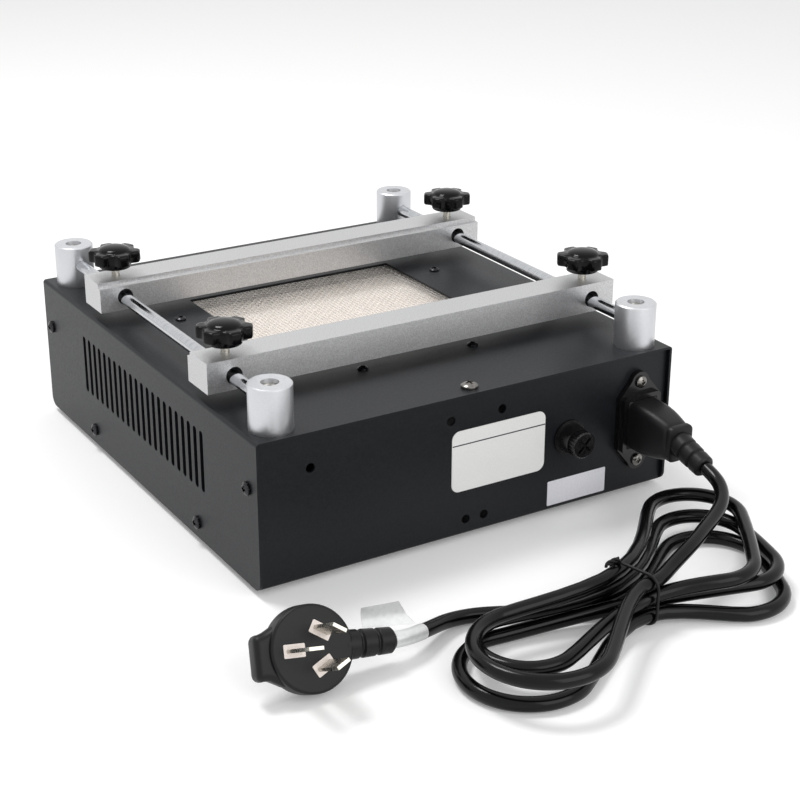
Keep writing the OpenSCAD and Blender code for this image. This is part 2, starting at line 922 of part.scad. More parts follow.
module display_standoffs() {
    peg = board_t + over;
    color(nickel)
        at_display_board()
            at_board_corners(display_board_w, display_board_h) {
                cylinder(h = display_gap, d = standoff_d, $fn = 6);
                translate([0, 0, -peg]) cylinder(h = peg, d = standoff_hole);
            }
}

module display_module() {
    depth = display_gap - pane_t - fit;
    side = 3;
    color("#26262a")
        at_display_board()
            translate([display_x - display_board_x, 0, 0])
                linear_extrude(depth) square([display_w - side, display_h - side], center = true);
}

module display_window() {
    lap = 2;
    color("#5a1216")
        at_display_board()
            translate([display_x - display_board_x, 0, display_gap - pane_t]) {
                linear_extrude(pane_t) square([display_w + 2 * lap, display_h + 2 * lap], center = true);
                linear_extrude(pane_t + sheet_t)
                    square([display_w - 2 * fit, display_h - 2 * fit], center = true);
            }
}

module tact_switches() {
    plunger_d = 3.4;
    color("#3a3a3c")
        at_display_board()
            for (i = [0, 1])
                translate([button_x + i * button_pitch - display_board_x, 0, 0]) {
                    translate([-tact / 2, -tact / 2, 0]) cube([tact, tact, tact_h]);
                    cylinder(h = tact_h + plunger_h, d = plunger_d);
                }
}

// Push button: a cap through the panel, a flange behind it and a stem that reaches down to the switch
module push_button(i) {
    stem_d = 3.4;
    flange_t = 1.5;
    stem_z = tact_h + plunger_h + button_travel + run_fit;
    flange_z = display_gap - fit - flange_t;
    color("#e3e3df")
        at_display_board()
            translate([button_x + i * button_pitch - display_board_x, 0, 0]) {
                translate([0, 0, stem_z]) cylinder(h = flange_z + over - stem_z, d = stem_d);
                translate([0, 0, flange_z]) cylinder(h = flange_t, d = button_d + 2 * cap_flange);
                translate([0, 0, flange_z])
                    cylinder(h = display_gap + sheet_t + cap_out - edge - flange_z, d = button_d);
                translate([0, 0, display_gap + sheet_t + cap_out - edge])
                    cylinder(h = edge, d1 = button_d, d2 = button_d - 2 * edge);
            }
}

module button_up() { push_button(0); }
module button_down() { push_button(1); }

// Frame of the power switch: +Z out of the front panel, with z = 0 on the panel's outer face
module at_switch() {
    at_body() translate([switch_x, -panel_y, control_height]) rotate([90, 0, 0]) children();
}

module switch_body() {
    can = [switch_w - 2 * bezel_t, switch_h - 2 * bezel_t];
    tab = [0.8, 6.3, 8];
    tab_pitch = 8;
    color(black_plastic)
        at_switch()
            difference() {
                union() {
                    linear_extrude(bezel_t) rounded_rect(switch_w, switch_h, over);
                    translate([0, 0, -switch_depth])
                        linear_extrude(switch_depth + bezel_t / 2) square(can, center = true);
                    for (i = [-1, 1])
                        translate([-tab[0] / 2, i * tab_pitch / 2 - tab[1] / 2, -switch_depth - tab[2]])
                            cube([tab[0], tab[1], tab[2] + over]);
                }
                translate([0, 0, bezel_t - rocker_r - fit])
                    linear_extrude(switch_depth)
                        square([rocker_w + 2 * fit, 2 * (rocker_r + fit)], center = true);
            }
}

// Rocker that turns about X on the bezel's face; at rest its lower half is pressed in
module power_rocker() {
    color("#232325")
        at_switch()
            translate([0, 0, bezel_t])
                rotate([rocker_tilt, 0, 0])
                    rotate([90, 0, 90])
                        linear_extrude(rocker_w, center = true)
                            intersection() {
                                circle(rocker_r);
                                polygon([
                                    [-rocker_r, -rocker_r / 2], [rocker_r, -rocker_r / 2],
                                    [rocker_r, rocker_proud / 2],
                                    [0, rocker_proud / 4],
                                    [-rocker_r, rocker_proud / 2]
                                ]);
                            }
}

// Frame of the inlet: +Z out of the rear panel, with x across and y up
module at_inlet() {
    at_body()
        translate([inlet_x, panel_y, inlet_height]) rotate([90, 0, 180]) children();
}

module inlet_outline() {
    ear_r = 5;
    shoulder = 13;
    half = inlet_w / 2 + 1.8;
    polygon([
        for (s = [-1, 1]) each [
            [-s * half, s * shoulder], [-s * ear_r, s * (inlet_pitch / 2 + 1)],
            [s * ear_r, s * (inlet_pitch / 2 + 1)], [s * half, s * shoulder]
        ]
    ]);
    for (s = [-1, 1]) translate([0, s * inlet_pitch / 2]) circle(ear_r);
}

module inlet_pin_slots(clear, from, to) {
    for (p = pin_at)
        translate([p[0] - pin_w / 2 - clear, p[1] - pin_h / 2 - clear, from])
            cube([pin_w + 2 * clear, pin_h + 2 * clear, to - from]);
}

module inlet_body() {
    color(black_plastic)
        at_inlet()
            difference() {
                union() {
                    linear_extrude(inlet_flange_t) inlet_outline();
                    linear_extrude(inlet_flange_t + inlet_rim_h)
                        rounded_rect(cavity_w + 2 * inlet_rim_t, cavity_h + 2 * inlet_rim_t, inlet_rim_t);
                    translate([0, 0, -inlet_depth])
                        linear_extrude(inlet_depth + over) square([inlet_w, inlet_h], center = true);
                }
                translate([0, 0, inlet_flange_t - cavity_depth])
                    linear_extrude(cavity_depth + inlet_rim_h + over)
                        rounded_rect(cavity_w, cavity_h, over);
                inlet_pin_slots(fit, -2 * inlet_depth, 0);
                for (s = [-1, 1])
                    translate([0, s * inlet_pitch / 2, inlet_flange_t]) screw_hole(inlet_screw);
            }
}

module inlet_pins() {
    root = inlet_flange_t - cavity_depth;
    color("#c8b26a") at_inlet() inlet_pin_slots(0, root - pin_tail, root + pin_reach);
}

module inlet_screws() {
    color(nickel)
        at_inlet()
            for (s = [-1, 1]) translate([0, s * inlet_pitch / 2, inlet_flange_t]) pan_screw(inlet_screw);
}

// Frame of the fuse holder: +Z out of the rear panel on the holder's axis
module at_fuse() {
    at_body() translate([fuse_x, panel_y, fuse_height]) rotate([-90, 0, 0]) children();
}

module fuse_holder() {
    wall_end = 3;
    color(black_plastic)
        at_fuse()
            rotate_extrude()
                polygon([
                    [0, -barrel_l], [barrel_d / 2, -barrel_l], [barrel_d / 2, 0], [fuse_flange_d / 2, 0],
                    [fuse_flange_d / 2, fuse_flange_t], [collar_d / 2, fuse_flange_t],
                    [collar_d / 2 - edge, collar_l], [fuse_bore_d / 2, collar_l],
                    [fuse_bore_d / 2, wall_end - barrel_l], [0, wall_end - barrel_l]
                ]);
}

module fuse_nut() {
    color(black_plastic)
        at_fuse()
            translate([0, 0, -sheet_t - fuse_nut_h])
                difference() {
                    cylinder(h = fuse_nut_h, d = nut_af, $fn = 6);
                    cylinder(h = 4 * fuse_nut_h, d = barrel_d + 2 * run_fit, center = true);
                }
}

// Screw cap of the fuse holder with a ribbed rim, a cross slot and a hollow stem that grips the fuse
module fuse_cap() {
    ribs = 24;
    rib_d = 0.8;
    stem_l = 10;
    slot = [9, 1.4, 1.6];
    head = collar_l + fit;
    color(black_plastic)
        at_fuse()
            difference() {
                union() {
                    translate([0, 0, head]) cylinder(h = fuse_out - head - edge, d = cap_d);
                    translate([0, 0, fuse_out - edge])
                        cylinder(h = edge, d1 = cap_d, d2 = cap_d - 2 * edge);
                    translate([0, 0, head - stem_l])
                        cylinder(h = stem_l + over, d = fuse_bore_d - 4 * run_fit);
                }
                for (i = [0 : ribs - 1])
                    rotate(i * 360 / ribs)
                        translate([cap_d / 2, 0, head - fit]) cylinder(h = fuse_out, d = rib_d);
                for (a = [45, 135])
                    rotate(a)
                        translate([-slot[0] / 2, -slot[1] / 2, fuse_out - slot[2]])
                            cube(slot + [0, 0, over]);
                translate([0, 0, head - stem_l - over]) cylinder(h = stem_l, d = fuse_d + 2 * fit);
            }
}

module fuse_link() {
    color("#dfe3e2")
        at_fuse() translate([0, 0, collar_l - over - fuse_l]) cylinder(h = fuse_l, d = fuse_d);
}

// Frame of the plugged-in connector: +Z out of the rear on the inlet's axis, from the inlet's face
module at_connector() {
    at_inlet() translate([0, 0, inlet_flange_t + inlet_rim_h]) children();
}

// Strain relief along +Z: a tapered body with ring grooves
module relief(d1, d2, l) {
    difference() {
        cylinder(h = l, d1 = d1, d2 = d2);
        for (i = [1 : relief_rings])
            translate([0, 0, i * l / (relief_rings + 1) - groove_w / 2])
                difference() {
                    cylinder(h = groove_w, d = 2 * d1);
                    cylinder(h = 3 * groove_w, d = d2 + (d1 - d2) / 2 - 2 * groove_depth, center = true);
                }
    }
}

// Outline of the connector's shell from one side: straight at the inlet, then curving in to the grip
module shell_half_outline(size, arc) {
    union() {
        translate([-size, -over]) square([3 * size / 2, shell_straight + over]);
        translate([size / 2 - arc, shell_straight]) circle(arc, $fn = 2 * $fn);
    }
}

module shell_outline(size, arc) {
    intersection() {
        translate([-size / 2, 0]) square([size, shell_l]);
        shell_half_outline(size, arc);
        mirror([1, 0]) shell_half_outline(size, arc);
    }
}

module mains_connector() {
    slot_clear = 0.4;
    color(black_plastic)
        at_connector()
            difference() {
                union() {
                    intersection() {
                        rotate([90, 0, 90])
                            linear_extrude(shell_w, center = true) shell_outline(shell_h, shell_arc);
                        rotate([90, 0, 0])
                            linear_extrude(shell_h, center = true) shell_outline(shell_w, shell_plan_arc);
                    }
                    translate([0, 0, -nose_l])
                        linear_extrude(nose_l + over)
                            rounded_rect(shell_w, shell_h, over);
                    translate([0, 0, shell_l - over])
                        linear_extrude(grip_t + over) rounded_rect(grip_w, grip_h, grip_r);
                    translate([0, 0, shell_l + grip_t - over])
                        rotate([relief_tilt, 0, 0]) relief(relief_d, relief_end_d, relief_l);
                }
                inlet_pin_slots(slot_clear, -nose_l - over, over);
            }
}

// Tube along a list of points: a ring of corners square to the route at each point, joined by quads
function unit(v) = v / norm(v);
function heading(p, i) = unit(p[min(i + 1, len(p) - 1)] - p[max(i - 1, 0)]);
function ring(p, i, r) =
    let (t = heading(p, i), s = unit(cross(t, [0, 0, 1])), u = cross(s, t))
    [
        for (k = [0 : tube_sides - 1])
            p[i] + r * (cos(k * 360 / tube_sides) * s + sin(k * 360 / tube_sides) * u)
    ];

module tube(p, d) {
    n = tube_sides;
    last = (len(p) - 1) * n;
    polyhedron(
        points = [for (i = [0 : len(p) - 1]) each ring(p, i, d / 2)],
        faces = concat(
            [[for (k = [0 : n - 1]) k]],
            [for (i = [0 : len(p) - 2], k = [0 : n - 1])
                [i * n + (k + 1) % n, i * n + k, (i + 1) * n + k, (i + 1) * n + (k + 1) % n]],
            [[for (k = [n - 1 : -1 : 0]) last + k]]
        )
    );
}

module cord_lead() {
    color(black_plastic) at_body() tube(lead_route, cord_d);
}

module cord_tail() {
    color(black_plastic) at_body() tube(tail_route, cord_d);
}

// Frame of the hank: x runs from its waist towards its left loops
module at_waist() {
    at_body() translate([hank_waist[0], hank_waist[1], 0]) rotate(hank_turn) children();
}

// Outline of one loop: its round turns, the runs that narrow to the waist and the run between two turns
module loop_outline(loop) {
    r = loop[0] + cord_d / 2;
    for (i = [1 : len(loop) - 1])
        rotate(atan2(loop[i][1], loop[i][0])) {
            translate([norm(loop[i]), 0]) circle(r);
            polygon([[0, -waist_half], [norm(loop[i]), -r], [norm(loop[i]), r], [0, waist_half]]);
        }
    if (len(loop) > 2) {
        way = loop[2] - loop[1];
        side = r * [-way[1], way[0]] / norm(way);
        polygon([loop[1] - side, loop[2] - side, loop[2] + side, loop[1] + side]);
        polygon([[0, 0], loop[1], loop[2]]);
    }
}

// Block round the runs at the waist, with a margin on its sides
module bundle(margin, l) {
    translate([-l / 2, -waist_half - margin, tie_d + fit - margin])
        cube([l, 2 * (waist_half + margin), bundle_h + 2 * margin]);
}

module cord_hank() {
    groove = tie_d + 2 * fit;
    reach = 4 * waist_half;
    color(black_plastic)
        at_waist() {
            difference() {
                for (i = [0 : len(left_loops) - 1])
                    translate([0, 0, i * loop_rise])
                        linear_extrude(loop_rise) {
                            loop_outline(left_loops[i]);
                            loop_outline(right_loops[i]);
                        }
                translate([-groove / 2, -reach / 2, -over]) cube([groove, reach, reach]);
            }
            bundle(0, bundle_l);
        }
}

// Tie round the runs at the waist
module cord_tie() {
    color(black_plastic)
        at_waist()
            difference() {
                bundle(fit + tie_d, tie_d);
                bundle(fit, tie_d + over);
            }
}

module at_plug() {
    at_body() translate(plug_at) rotate([plug_lean, 0, 0]) rotate(plug_roll) children();
}

// The three flat blades: the earth blade points away from the cord, the other two lean to either side
module blades(clear) {
    size = [blade_w + 2 * clear, blade_t + 2 * clear];
    translate([blade_r, 0, -blade_root - clear])
        linear_extrude(earth_l + blade_root + clear) square(size, center = true);
    for (s = [-1, 1])
        rotate(s * 120)
            translate([blade_r, 0, -blade_root - clear])
                rotate(s * 90)
                    linear_extrude(blade_l + blade_root + clear) square(size, center = true);
}

module plug_body() {
    rim = 1.5;
    back = 3;
    color(black_plastic)
        at_plug()
            difference() {
                union() {
                    rotate_extrude()
                        polygon([
                            [0, -plug_t], [plug_d / 2 - back, -plug_t], [plug_d / 2, back - plug_t],
                            [plug_d / 2, -rim], [plug_d / 2 - rim, 0], [0, 0]
                        ]);
                    translate([0, 0, plug_axis - plug_grip_t / 2])
                        linear_extrude(plug_grip_t) polygon(plug_grip);
                    translate([-plug_relief_start, 0, plug_axis])
                        rotate([0, -90, 0])
                            relief(
                                relief_d - over, relief_end_d - over, plug_relief_end - plug_relief_start
                            );
                }
                blades(fit);
            }
}

module plug_pins() {
    color(nickel) at_plug() blades(0);
}

cover();
chassis();
rubber_feet();
foot_screws();
side_screws();
top_screws();
post_front_left();
post_front_right();
post_rear_left();
post_rear_right();
post_screws();
post_nuts();
guide_rod_left();
guide_rod_right();
clamp_bar_front();
clamp_bar_rear();
stud_front_left();
stud_front_right();
stud_rear_left();
stud_rear_right();
knob_front_left();
knob_front_right();
knob_rear_left();
knob_rear_right();
heater_mesh();
heater_screws();
heater_tray();
ceramic_heater();
heater_insulation();
thermocouple();
control_board();
board_standoffs();
transformer();
heatsink();
triac();
display_board();
display_standoffs();
display_module();
display_window();
tact_switches();
button_up();
button_down();
switch_body();
power_rocker();
inlet_body();
inlet_pins();
inlet_screws();
fuse_holder();
fuse_nut();
fuse_cap();
fuse_link();
mains_connector();
cord_lead();
cord_hank();
cord_tail();
cord_tie();
plug_body();
plug_pins();
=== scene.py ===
# %% [markdown]
# # A bench preheater for circuit boards
# The CAD model gives every rigid piece its place and size. This lesson dresses it: the cord and its hank, the woven
# wire over the heater, the moulded knobs, the plug and the connector, the bare plates, and a finish for every surface.
# Blender works in metres; a shape that is easier to read in millimetres is scaled on its way into the mesh.

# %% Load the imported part
import json
import math

import bmesh
import bpy
import numpy as np
from mathutils import Matrix, Vector
from mathutils.geometry import tessellate_polygon


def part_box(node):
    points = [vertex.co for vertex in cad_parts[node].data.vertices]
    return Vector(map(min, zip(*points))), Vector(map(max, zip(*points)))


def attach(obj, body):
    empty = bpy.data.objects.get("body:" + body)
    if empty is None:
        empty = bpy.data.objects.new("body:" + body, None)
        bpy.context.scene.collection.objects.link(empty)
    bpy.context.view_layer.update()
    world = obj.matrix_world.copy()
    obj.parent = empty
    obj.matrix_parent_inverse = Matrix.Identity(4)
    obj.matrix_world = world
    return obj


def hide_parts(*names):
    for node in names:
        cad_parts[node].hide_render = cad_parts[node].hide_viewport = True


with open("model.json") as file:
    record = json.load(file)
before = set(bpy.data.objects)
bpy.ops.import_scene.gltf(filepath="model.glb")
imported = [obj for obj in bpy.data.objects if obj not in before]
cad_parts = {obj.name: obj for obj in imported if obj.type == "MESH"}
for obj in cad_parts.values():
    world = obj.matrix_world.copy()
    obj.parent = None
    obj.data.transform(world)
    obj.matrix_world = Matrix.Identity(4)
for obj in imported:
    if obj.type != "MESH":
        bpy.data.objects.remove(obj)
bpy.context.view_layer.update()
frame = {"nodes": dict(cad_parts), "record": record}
nodes = frame["nodes"]

# %% [markdown]
# ## Camera
# The camera was found from the corners of the box in the photograph: its place, its three axes and its lens. The axes
# are the columns of its matrix, so no aiming constraint is needed and the view can't drift.

# %% Camera
MM = 0.001
CAMERA_AT = np.array([396.495, 703.038, 366.842]) * MM
# the camera's right, up and backward directions, one to a row
CAMERA_AXES = np.array([
    [-0.85477, 0.51900, 0.00198],
    [-0.20004, -0.33298, 0.92147],
    [0.47890, 0.78725, 0.38844],
])
scene = bpy.context.scene
scene.view_settings.view_transform = "Standard"
camera_data = bpy.data.cameras.new("camera")
camera_data.lens = 77.89
camera_data.sensor_width = 36
camera_data.clip_end = 20
camera = bpy.data.objects.new("camera", camera_data)
scene.collection.objects.link(camera)
camera_place = np.eye(4)
camera_place[:3, :3] = CAMERA_AXES.T
camera_place[:3, 3] = CAMERA_AT
camera.matrix_world = Matrix(camera_place.tolist())
scene.camera = camera
print("camera at", camera.location)

# %% [markdown]
# ## The cord's route
# A mains lead is a fixed length of something springy. This one leaves the connector, passes over the loops of its own
# hank, goes through the tie, and swings three times to a loop on the left and one on the right before its tail goes to
# the plug. A loop on the left has one round turn, and one on the right has two with a straight run between them. Runs
# touch the turns, so the tangent points are worked out from the turn's circle and the run's slot in the tie. A cubic
# spline then makes one smooth curve of it all.

# %% Slots in the tie, loops and free ends, in millimetres
# the route is laid round the middle of the cover, which lies this far along Y in the part's frame
BODY_Y = -4.65
CORD_D = 6.4
LOOP_RISE = CORD_D + 0.55
HANK_TURN = math.radians(13.48)
HANK_WAIST = np.array([-16.4, 216.6])
# per loop, from the top down: radius of its turns, places of its turns
LEFT_LOOPS = [(27, (65, 6)), (20.4, (59, -7.5)), (26, (65.5, -2))]
RIGHT_LOOPS = [
    (20.7, (-69.5, -20), (-38.5, 8)), (20.6, (-65.5, -12.5), (-54, 10)), (21.8, (-62, -4), (-46, 18)),
]
LEVELS = [(i + 0.5) * LOOP_RISE for i in (2, 1, 0)]
# where each pass through the tie lies: towards the camera, and up
SLOTS = [(7.8, 19.8), (-8.2, 19.8), (7.4, 12.7), (-8.4, 12.9), (0.2, 7.5), (8.4, 5.35), (-8.6, 5.2)]
# the last pass is placed off the waist, and the first is a straight run of this half length
LAST_SLOT_X = -9.8
SLOT_RUN = 7.0
LEAD = [
    (-91.4, 171.9, 34.0), (-91.3, 176.6, 32.7), (-90.4, 182.2, 31.2), (-87.8, 187.6, 29.9), (-83.4, 193.0, 28.6),
    (-77.4, 197.8, 27.4), (-69.7, 202.3, 26.3), (-62.4, 206.2, 25.6), (-53.8, 210.8, 24.6), (-44.2, 215.0, 23.1),
    (-34.2, 218.8, 21.0),
]
TAIL = [
    (-4.9, 207.2, 5.2), (12.1, 198.9, 3.7), (27.2, 191.2, 3.3), (41.9, 185.2, 3.6), (56.8, 185.6, 5.2),
    (66.0, 189.3, 7.0), (75.0, 193.0, 8.9), (82.0, 194.9, 10.1), (89.3, 195.1, 11.1),
]
print("loops:", len(LEFT_LOOPS) + len(RIGHT_LOOPS), "passes through the tie:", len(SLOTS))


# %% Runs and turns
# radians from one point of an arc to the next
ARC_STEP = 0.28


def from_waist(points):
    """Points in the hank's frame to points round the cover: turned by the hank's angle, then moved to its waist."""
    points = np.asarray(points, float)
    c, s = math.cos(HANK_TURN), math.sin(HANK_TURN)
    return np.column_stack([
        HANK_WAIST[0] + c * points[:, 0] - s * points[:, 1],
        HANK_WAIST[1] + s * points[:, 0] + c * points[:, 1],
        points[:, 2],
    ])


def touch(centre, r, point, side):
    """Angle at which a tangent from a point meets a circle: acos(r / distance) to one side of the point's own angle."""
    away = np.subtract(point, centre)
    return math.atan2(away[1], away[0]) + side * math.acos(r / np.hypot(*away))


def loop_turns(loop, level, start, end, turn):
    """Arcs of a loop from the run that starts it to the run that ends it. Turns of one radius share the angle at which
    the run between them leaves the first and meets the second: a right angle before the run's own heading."""
    r, centres = loop[0], [np.array(c, float) for c in loop[1:]][::-turn]
    between = [math.atan2(*(b - a)[::-1]) - turn * math.pi / 2 for a, b in zip(centres[:-1], centres[1:])]
    marks = [touch(centres[0], r, start, turn), *between, touch(centres[-1], r, end, -turn)]
    arcs = []
    for centre, first, last in zip(centres, marks[:-1], marks[1:]):
        sweep = (turn * (last - first)) % (2 * math.pi)
        angle = first + turn * np.linspace(0, sweep, max(2, round(sweep / ARC_STEP) + 1))
        arcs.append(np.column_stack([
            centre[0] + r * np.cos(angle), centre[1] + r * np.sin(angle), np.full(len(angle), level),
        ]))
    return np.vstack(arcs)


# %% String the points together
# loops turn clockwise seen from above, and from this one on the other way
TURN_BACK = 4
runs = [np.array(LEAD), from_waist([(x, *SLOTS[0]) for x in (-SLOT_RUN, 0, SLOT_RUN)])]
last_loop = len(SLOTS) - 2
for i in range(len(SLOTS) - 1):
    loop = (LEFT_LOOPS, RIGHT_LOOPS)[i % 2][i // 2]
    start = (SLOT_RUN if i == 0 else 0, SLOTS[i][0])
    end = (LAST_SLOT_X if i == last_loop else 0, SLOTS[i + 1][0])
    turn = 1 if i >= TURN_BACK else -1
    runs.append(from_waist(loop_turns(loop, LEVELS[i // 2], start, end, turn)))
    runs.append(from_waist([(end[0], *SLOTS[i + 1])]))
runs.append(np.array(TAIL))
cord_points = np.vstack(runs)
print("cord points:", len(cord_points))

# %% One smooth curve
# a power below 1 keeps short spans next to long ones from bulging; then the points drawn for each span
KNOT_POWER, PER_SPAN = 0.75, 6


def smooth(points, per_span):
    """Natural cubic spline whose spans have the length h = chord^0.75. With step = chord / h, its second slopes m
    solve h0*m0 + 2*(h0+h1)*m1 + h1*m2 = 6*(step1 - step0)."""
    chords = np.diff(points, axis=0)
    gap = np.linalg.norm(chords, axis=1) ** KNOT_POWER
    steps = chords / gap[:, None]
    n = len(points)
    inner = np.arange(1, n - 1)
    system = np.eye(n)
    system[inner, inner - 1] = gap[:-1]
    system[inner, inner] = 2 * (gap[:-1] + gap[1:])
    system[inner, inner + 1] = gap[1:]
    right = np.zeros((n, 3))
    right[1:-1] = 6 * np.diff(steps, axis=0)
    m = np.linalg.solve(system, right)
    h = gap[:, None]
    t = (np.arange(per_span) / per_span)[None, :, None] * h[:, None]
    cubic, square = ((m[1:] - m[:-1]) / (6 * h))[:, None], (m[:-1] / 2)[:, None]
    slope = (steps - h * (2 * m[:-1] + m[1:]) / 6)[:, None]
    spans = points[:-1, None] + slope * t + square * t**2 + cubic * t**3
    return np.vstack([spans.reshape(-1, 3), points[-1:]])


cord_line = (smooth(cord_points, PER_SPAN) + [0, BODY_Y, 0]) * MM
cord_curve = bpy.data.curves.new("mains_cord", "CURVE")
cord_curve.dimensions = "3D"
spline = cord_curve.splines.new("POLY")
spline.points.add(len(cord_line) - 1)
spline.points.foreach_set("co", np.column_stack([cord_line, np.ones(len(cord_line))]).ravel())
# a bevel of 1 makes each point's radius the cord's own, in metres
spline.points.foreach_set("radius", np.full(len(cord_line), CORD_D / 2 * MM))
cord_curve.bevel_depth = 1.0
cord_curve.bevel_resolution = 6
cord_curve.use_fill_caps = True
cord = bpy.data.objects.new("mains_cord", cord_curve)
scene.collection.objects.link(cord)
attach(cord, "housing")
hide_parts("cord_lead", "cord_hank", "cord_tail")

# %% [markdown]
# ## Small helpers for surfaces and finishes
# Every new piece below is a grid of points: rows along one parameter, columns along the other. One function turns such
# a grid into faces, so the shapes themselves stay short formulas. A finish is a handful of shader nodes; one function
# adds a node, sets its own settings, and fills its sockets with values or links.


# %% Grids to meshes
def grid_faces(rows, columns, closed_rows=False, closed_columns=False):
    """Quads of a grid of rows x columns points: each joins point (i, j) with its neighbours in i and j."""
    i = np.arange(rows if closed_rows else rows - 1)[:, None]
    j = np.arange(columns if closed_columns else columns - 1)[None, :]
    i2, j2 = (i + 1) % rows, (j + 1) % columns
    quads = [i * columns + j, i * columns + j2, i2 * columns + j2, i2 * columns + j]
    return np.stack(np.broadcast_arrays(*quads), -1).reshape(-1, 4)


def capped(rings):
    """Points and faces of a closed shell: quads between its rings, and one face each on the first and the last ring."""
    rows, columns = rings.shape[:2]
    last = (rows - 1) * columns
    ends = [list(range(columns))[::-1], list(range(last, last + columns))]
    return rings.reshape(-1, 3), grid_faces(rows, columns, closed_columns=True).tolist() + ends


def together(*shells):
    """Several shells, each its points and faces, as one: the faces of a shell count on from the points before it."""
    points, faces, start = [], [], 0
    for shell_points, shell_faces in shells:
        points.append(shell_points.reshape(-1, 3))
        faces += [[start + k for k in face] for face in shell_faces]
        start += len(points[-1])
    return np.vstack(points), faces


def make_piece(name, points, faces, body, material, slot, smooth_angle):
    """A mesh piece from an array of points and lists of faces, riding on a body; every closed shell of it is made to
    look outward, and edges sharper than the angle stay sharp."""
    mesh = bpy.data.meshes.new(name)
    mesh.from_pydata(points.reshape(-1, 3), [], faces)
    mesh.validate()
    shape = bmesh.new()
    shape.from_mesh(mesh)
    bmesh.ops.recalc_face_normals(shape, faces=shape.faces[:])
    shape.to_mesh(mesh)
    shape.free()
    mesh.shade_smooth()
    mesh.set_sharp_from_angle(angle=math.radians(smooth_angle))
    piece = bpy.data.objects.new(name, mesh)
    scene.collection.objects.link(piece)
    mesh.materials.append(material)
    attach(piece, body)
    print(name, "faces:", len(mesh.polygons))
    return piece


# %% Colours and nodes
# most of a noise texture's values lie between these two
NOISE_SPAN = (0.3, 0.7)


def linear(hex_code):
    """An sRGB hex colour as linear red, green, blue, alpha: ((c + 0.055) / 1.055) ** 2.4 above the toe."""
    c = np.array([int(hex_code[i : i + 2], 16) for i in (1, 3, 5)]) / 255
    c = np.where(c <= 0.04045, c / 12.92, ((c + 0.055) / 1.055) ** 2.4)
    return (*c.tolist(), 1.0)


def add(tree, kind, sockets=None, **settings):
    """One shader node: settings are its own properties, sockets are values or outputs by socket name."""
    node = tree.nodes.new("ShaderNode" + kind)
    for key, value in settings.items():
        setattr(node, key, value)
    for key, value in (sockets or {}).items():
        if isinstance(value, bpy.types.NodeSocket):
            tree.links.new(value, node.inputs[key])
        else:
            node.inputs[key].default_value = value
    return node


def finish_of(name, **surface):
    """A material with one principled shader; surface gives its fixed sockets by name, such as IOR=1.5."""
    material = bpy.data.materials.new(name)
    material.use_nodes = True
    shader = material.node_tree.nodes["Principled BSDF"]
    for key, value in surface.items():
        shader.inputs[key.replace("_", " ")].default_value = value
    return material, material.node_tree, shader


def grained(name, size, depth, tint, rough, detail=2.0, stretch=None, **surface):
    """A finish with noise of a grain size in millimetres: a bump as deep as depth in millimetres, and a spread of
    colour and of roughness between two values each. Stretch multiplies the pattern's frequency along X, Y and Z."""
    material, tree, shader = finish_of(name, **surface)
    place = add(tree, "TexCoord").outputs["Object"]
    if stretch:
        place = add(tree, "Mapping", {"Vector": place, "Scale": stretch}).outputs["Vector"]
    noise = add(tree, "TexNoise", {"Vector": place, "Scale": 1 / (size * MM), "Detail": detail}).outputs["Fac"]
    if depth:
        bump = add(tree, "Bump", {"Height": noise, "Distance": depth * MM, "Strength": 1.0})
        tree.links.new(bump.outputs["Normal"], shader.inputs["Normal"])
    ramp = add(tree, "ValToRGB", {"Fac": noise})
    for stop, position, colour in zip(ramp.color_ramp.elements, NOISE_SPAN, tint):
        stop.position, stop.color = position, linear(colour)
    tree.links.new(ramp.outputs["Color"], shader.inputs["Base Color"])
    spans = zip(("From Min", "From Max", "To Min", "To Max"), (*NOISE_SPAN, *rough))
    spread = add(tree, "MapRange", {"Value": noise, **dict(spans)})
    tree.links.new(spread.outputs["Result"], shader.inputs["Roughness"])
    return material


# %% [markdown]
# ## Finishes
# A black powder coat is melted plastic powder on steel: dark, not quite black, with a fine orange peel that breaks up
# the highlight. The bars and posts are clear anodised aluminium, the rods hard chrome. Each finish is a shader with a
# noise whose grain is a real size in millimetres; grain finer than a pixel is drawn a little coarser so that it shows.

# %% Coated, anodised and chromed metal
# black with a cool cast; an orange peel of about 0.8 mm breaks up a soft, weak highlight
powder_coat = grained(
    "powder_coat_on_steel", 0.8, 0.03, ("#121417", "#191b1f"), (0.34, 0.44), IOR=1.5, Specular_IOR_Level=0.22
)

# silver grey and grainy: blasting leaves 0.15 mm pits, drawn at 0.5 mm so that they show
anodised = grained("blasted_anodised_aluminium", 0.5, 0.04, ("#b0b0b1", "#d2d2d3"), (0.36, 0.48), Metallic=1.0)

# paler and smoother than the bars, with a soft band of light down each post
satin_anodised = grained(
    "turned_anodised_aluminium", 0.3, 0, ("#c9cacd", "#d3d4d7"), (0.36, 0.42), stretch=(0.3, 0.3, 2), Metallic=1.0
)

# bright, with the sharp light and dark streaks of a mirror; ground round its axis, so fine rings lie across the rod
chrome = grained(
    "hard_chrome_on_rod", 0.5, 0, ("#b4b6b9", "#c8cacd"), (0.1, 0.18), stretch=(0.1, 1, 0.1), Metallic=1.0
)
print("finishes:", len(bpy.data.materials))

# %% [markdown]
# Small metal parts are plated, blackened, drawn or galvanised. What tells them apart is their colour and how sharp the
# highlight is, so hardly any of them needs a bump.

# %% Plated, blackened and drawn metal
# warm silver, shiny
nickel = grained("nickel_plated_steel", 1.2, 0, ("#b4b0a6", "#cbc8c0"), (0.2, 0.34), Metallic=1.0)

# yellow, turned
brass = grained("turned_brass", 1.0, 0, ("#b8964f", "#c9ab66"), (0.25, 0.4), Metallic=1.0)

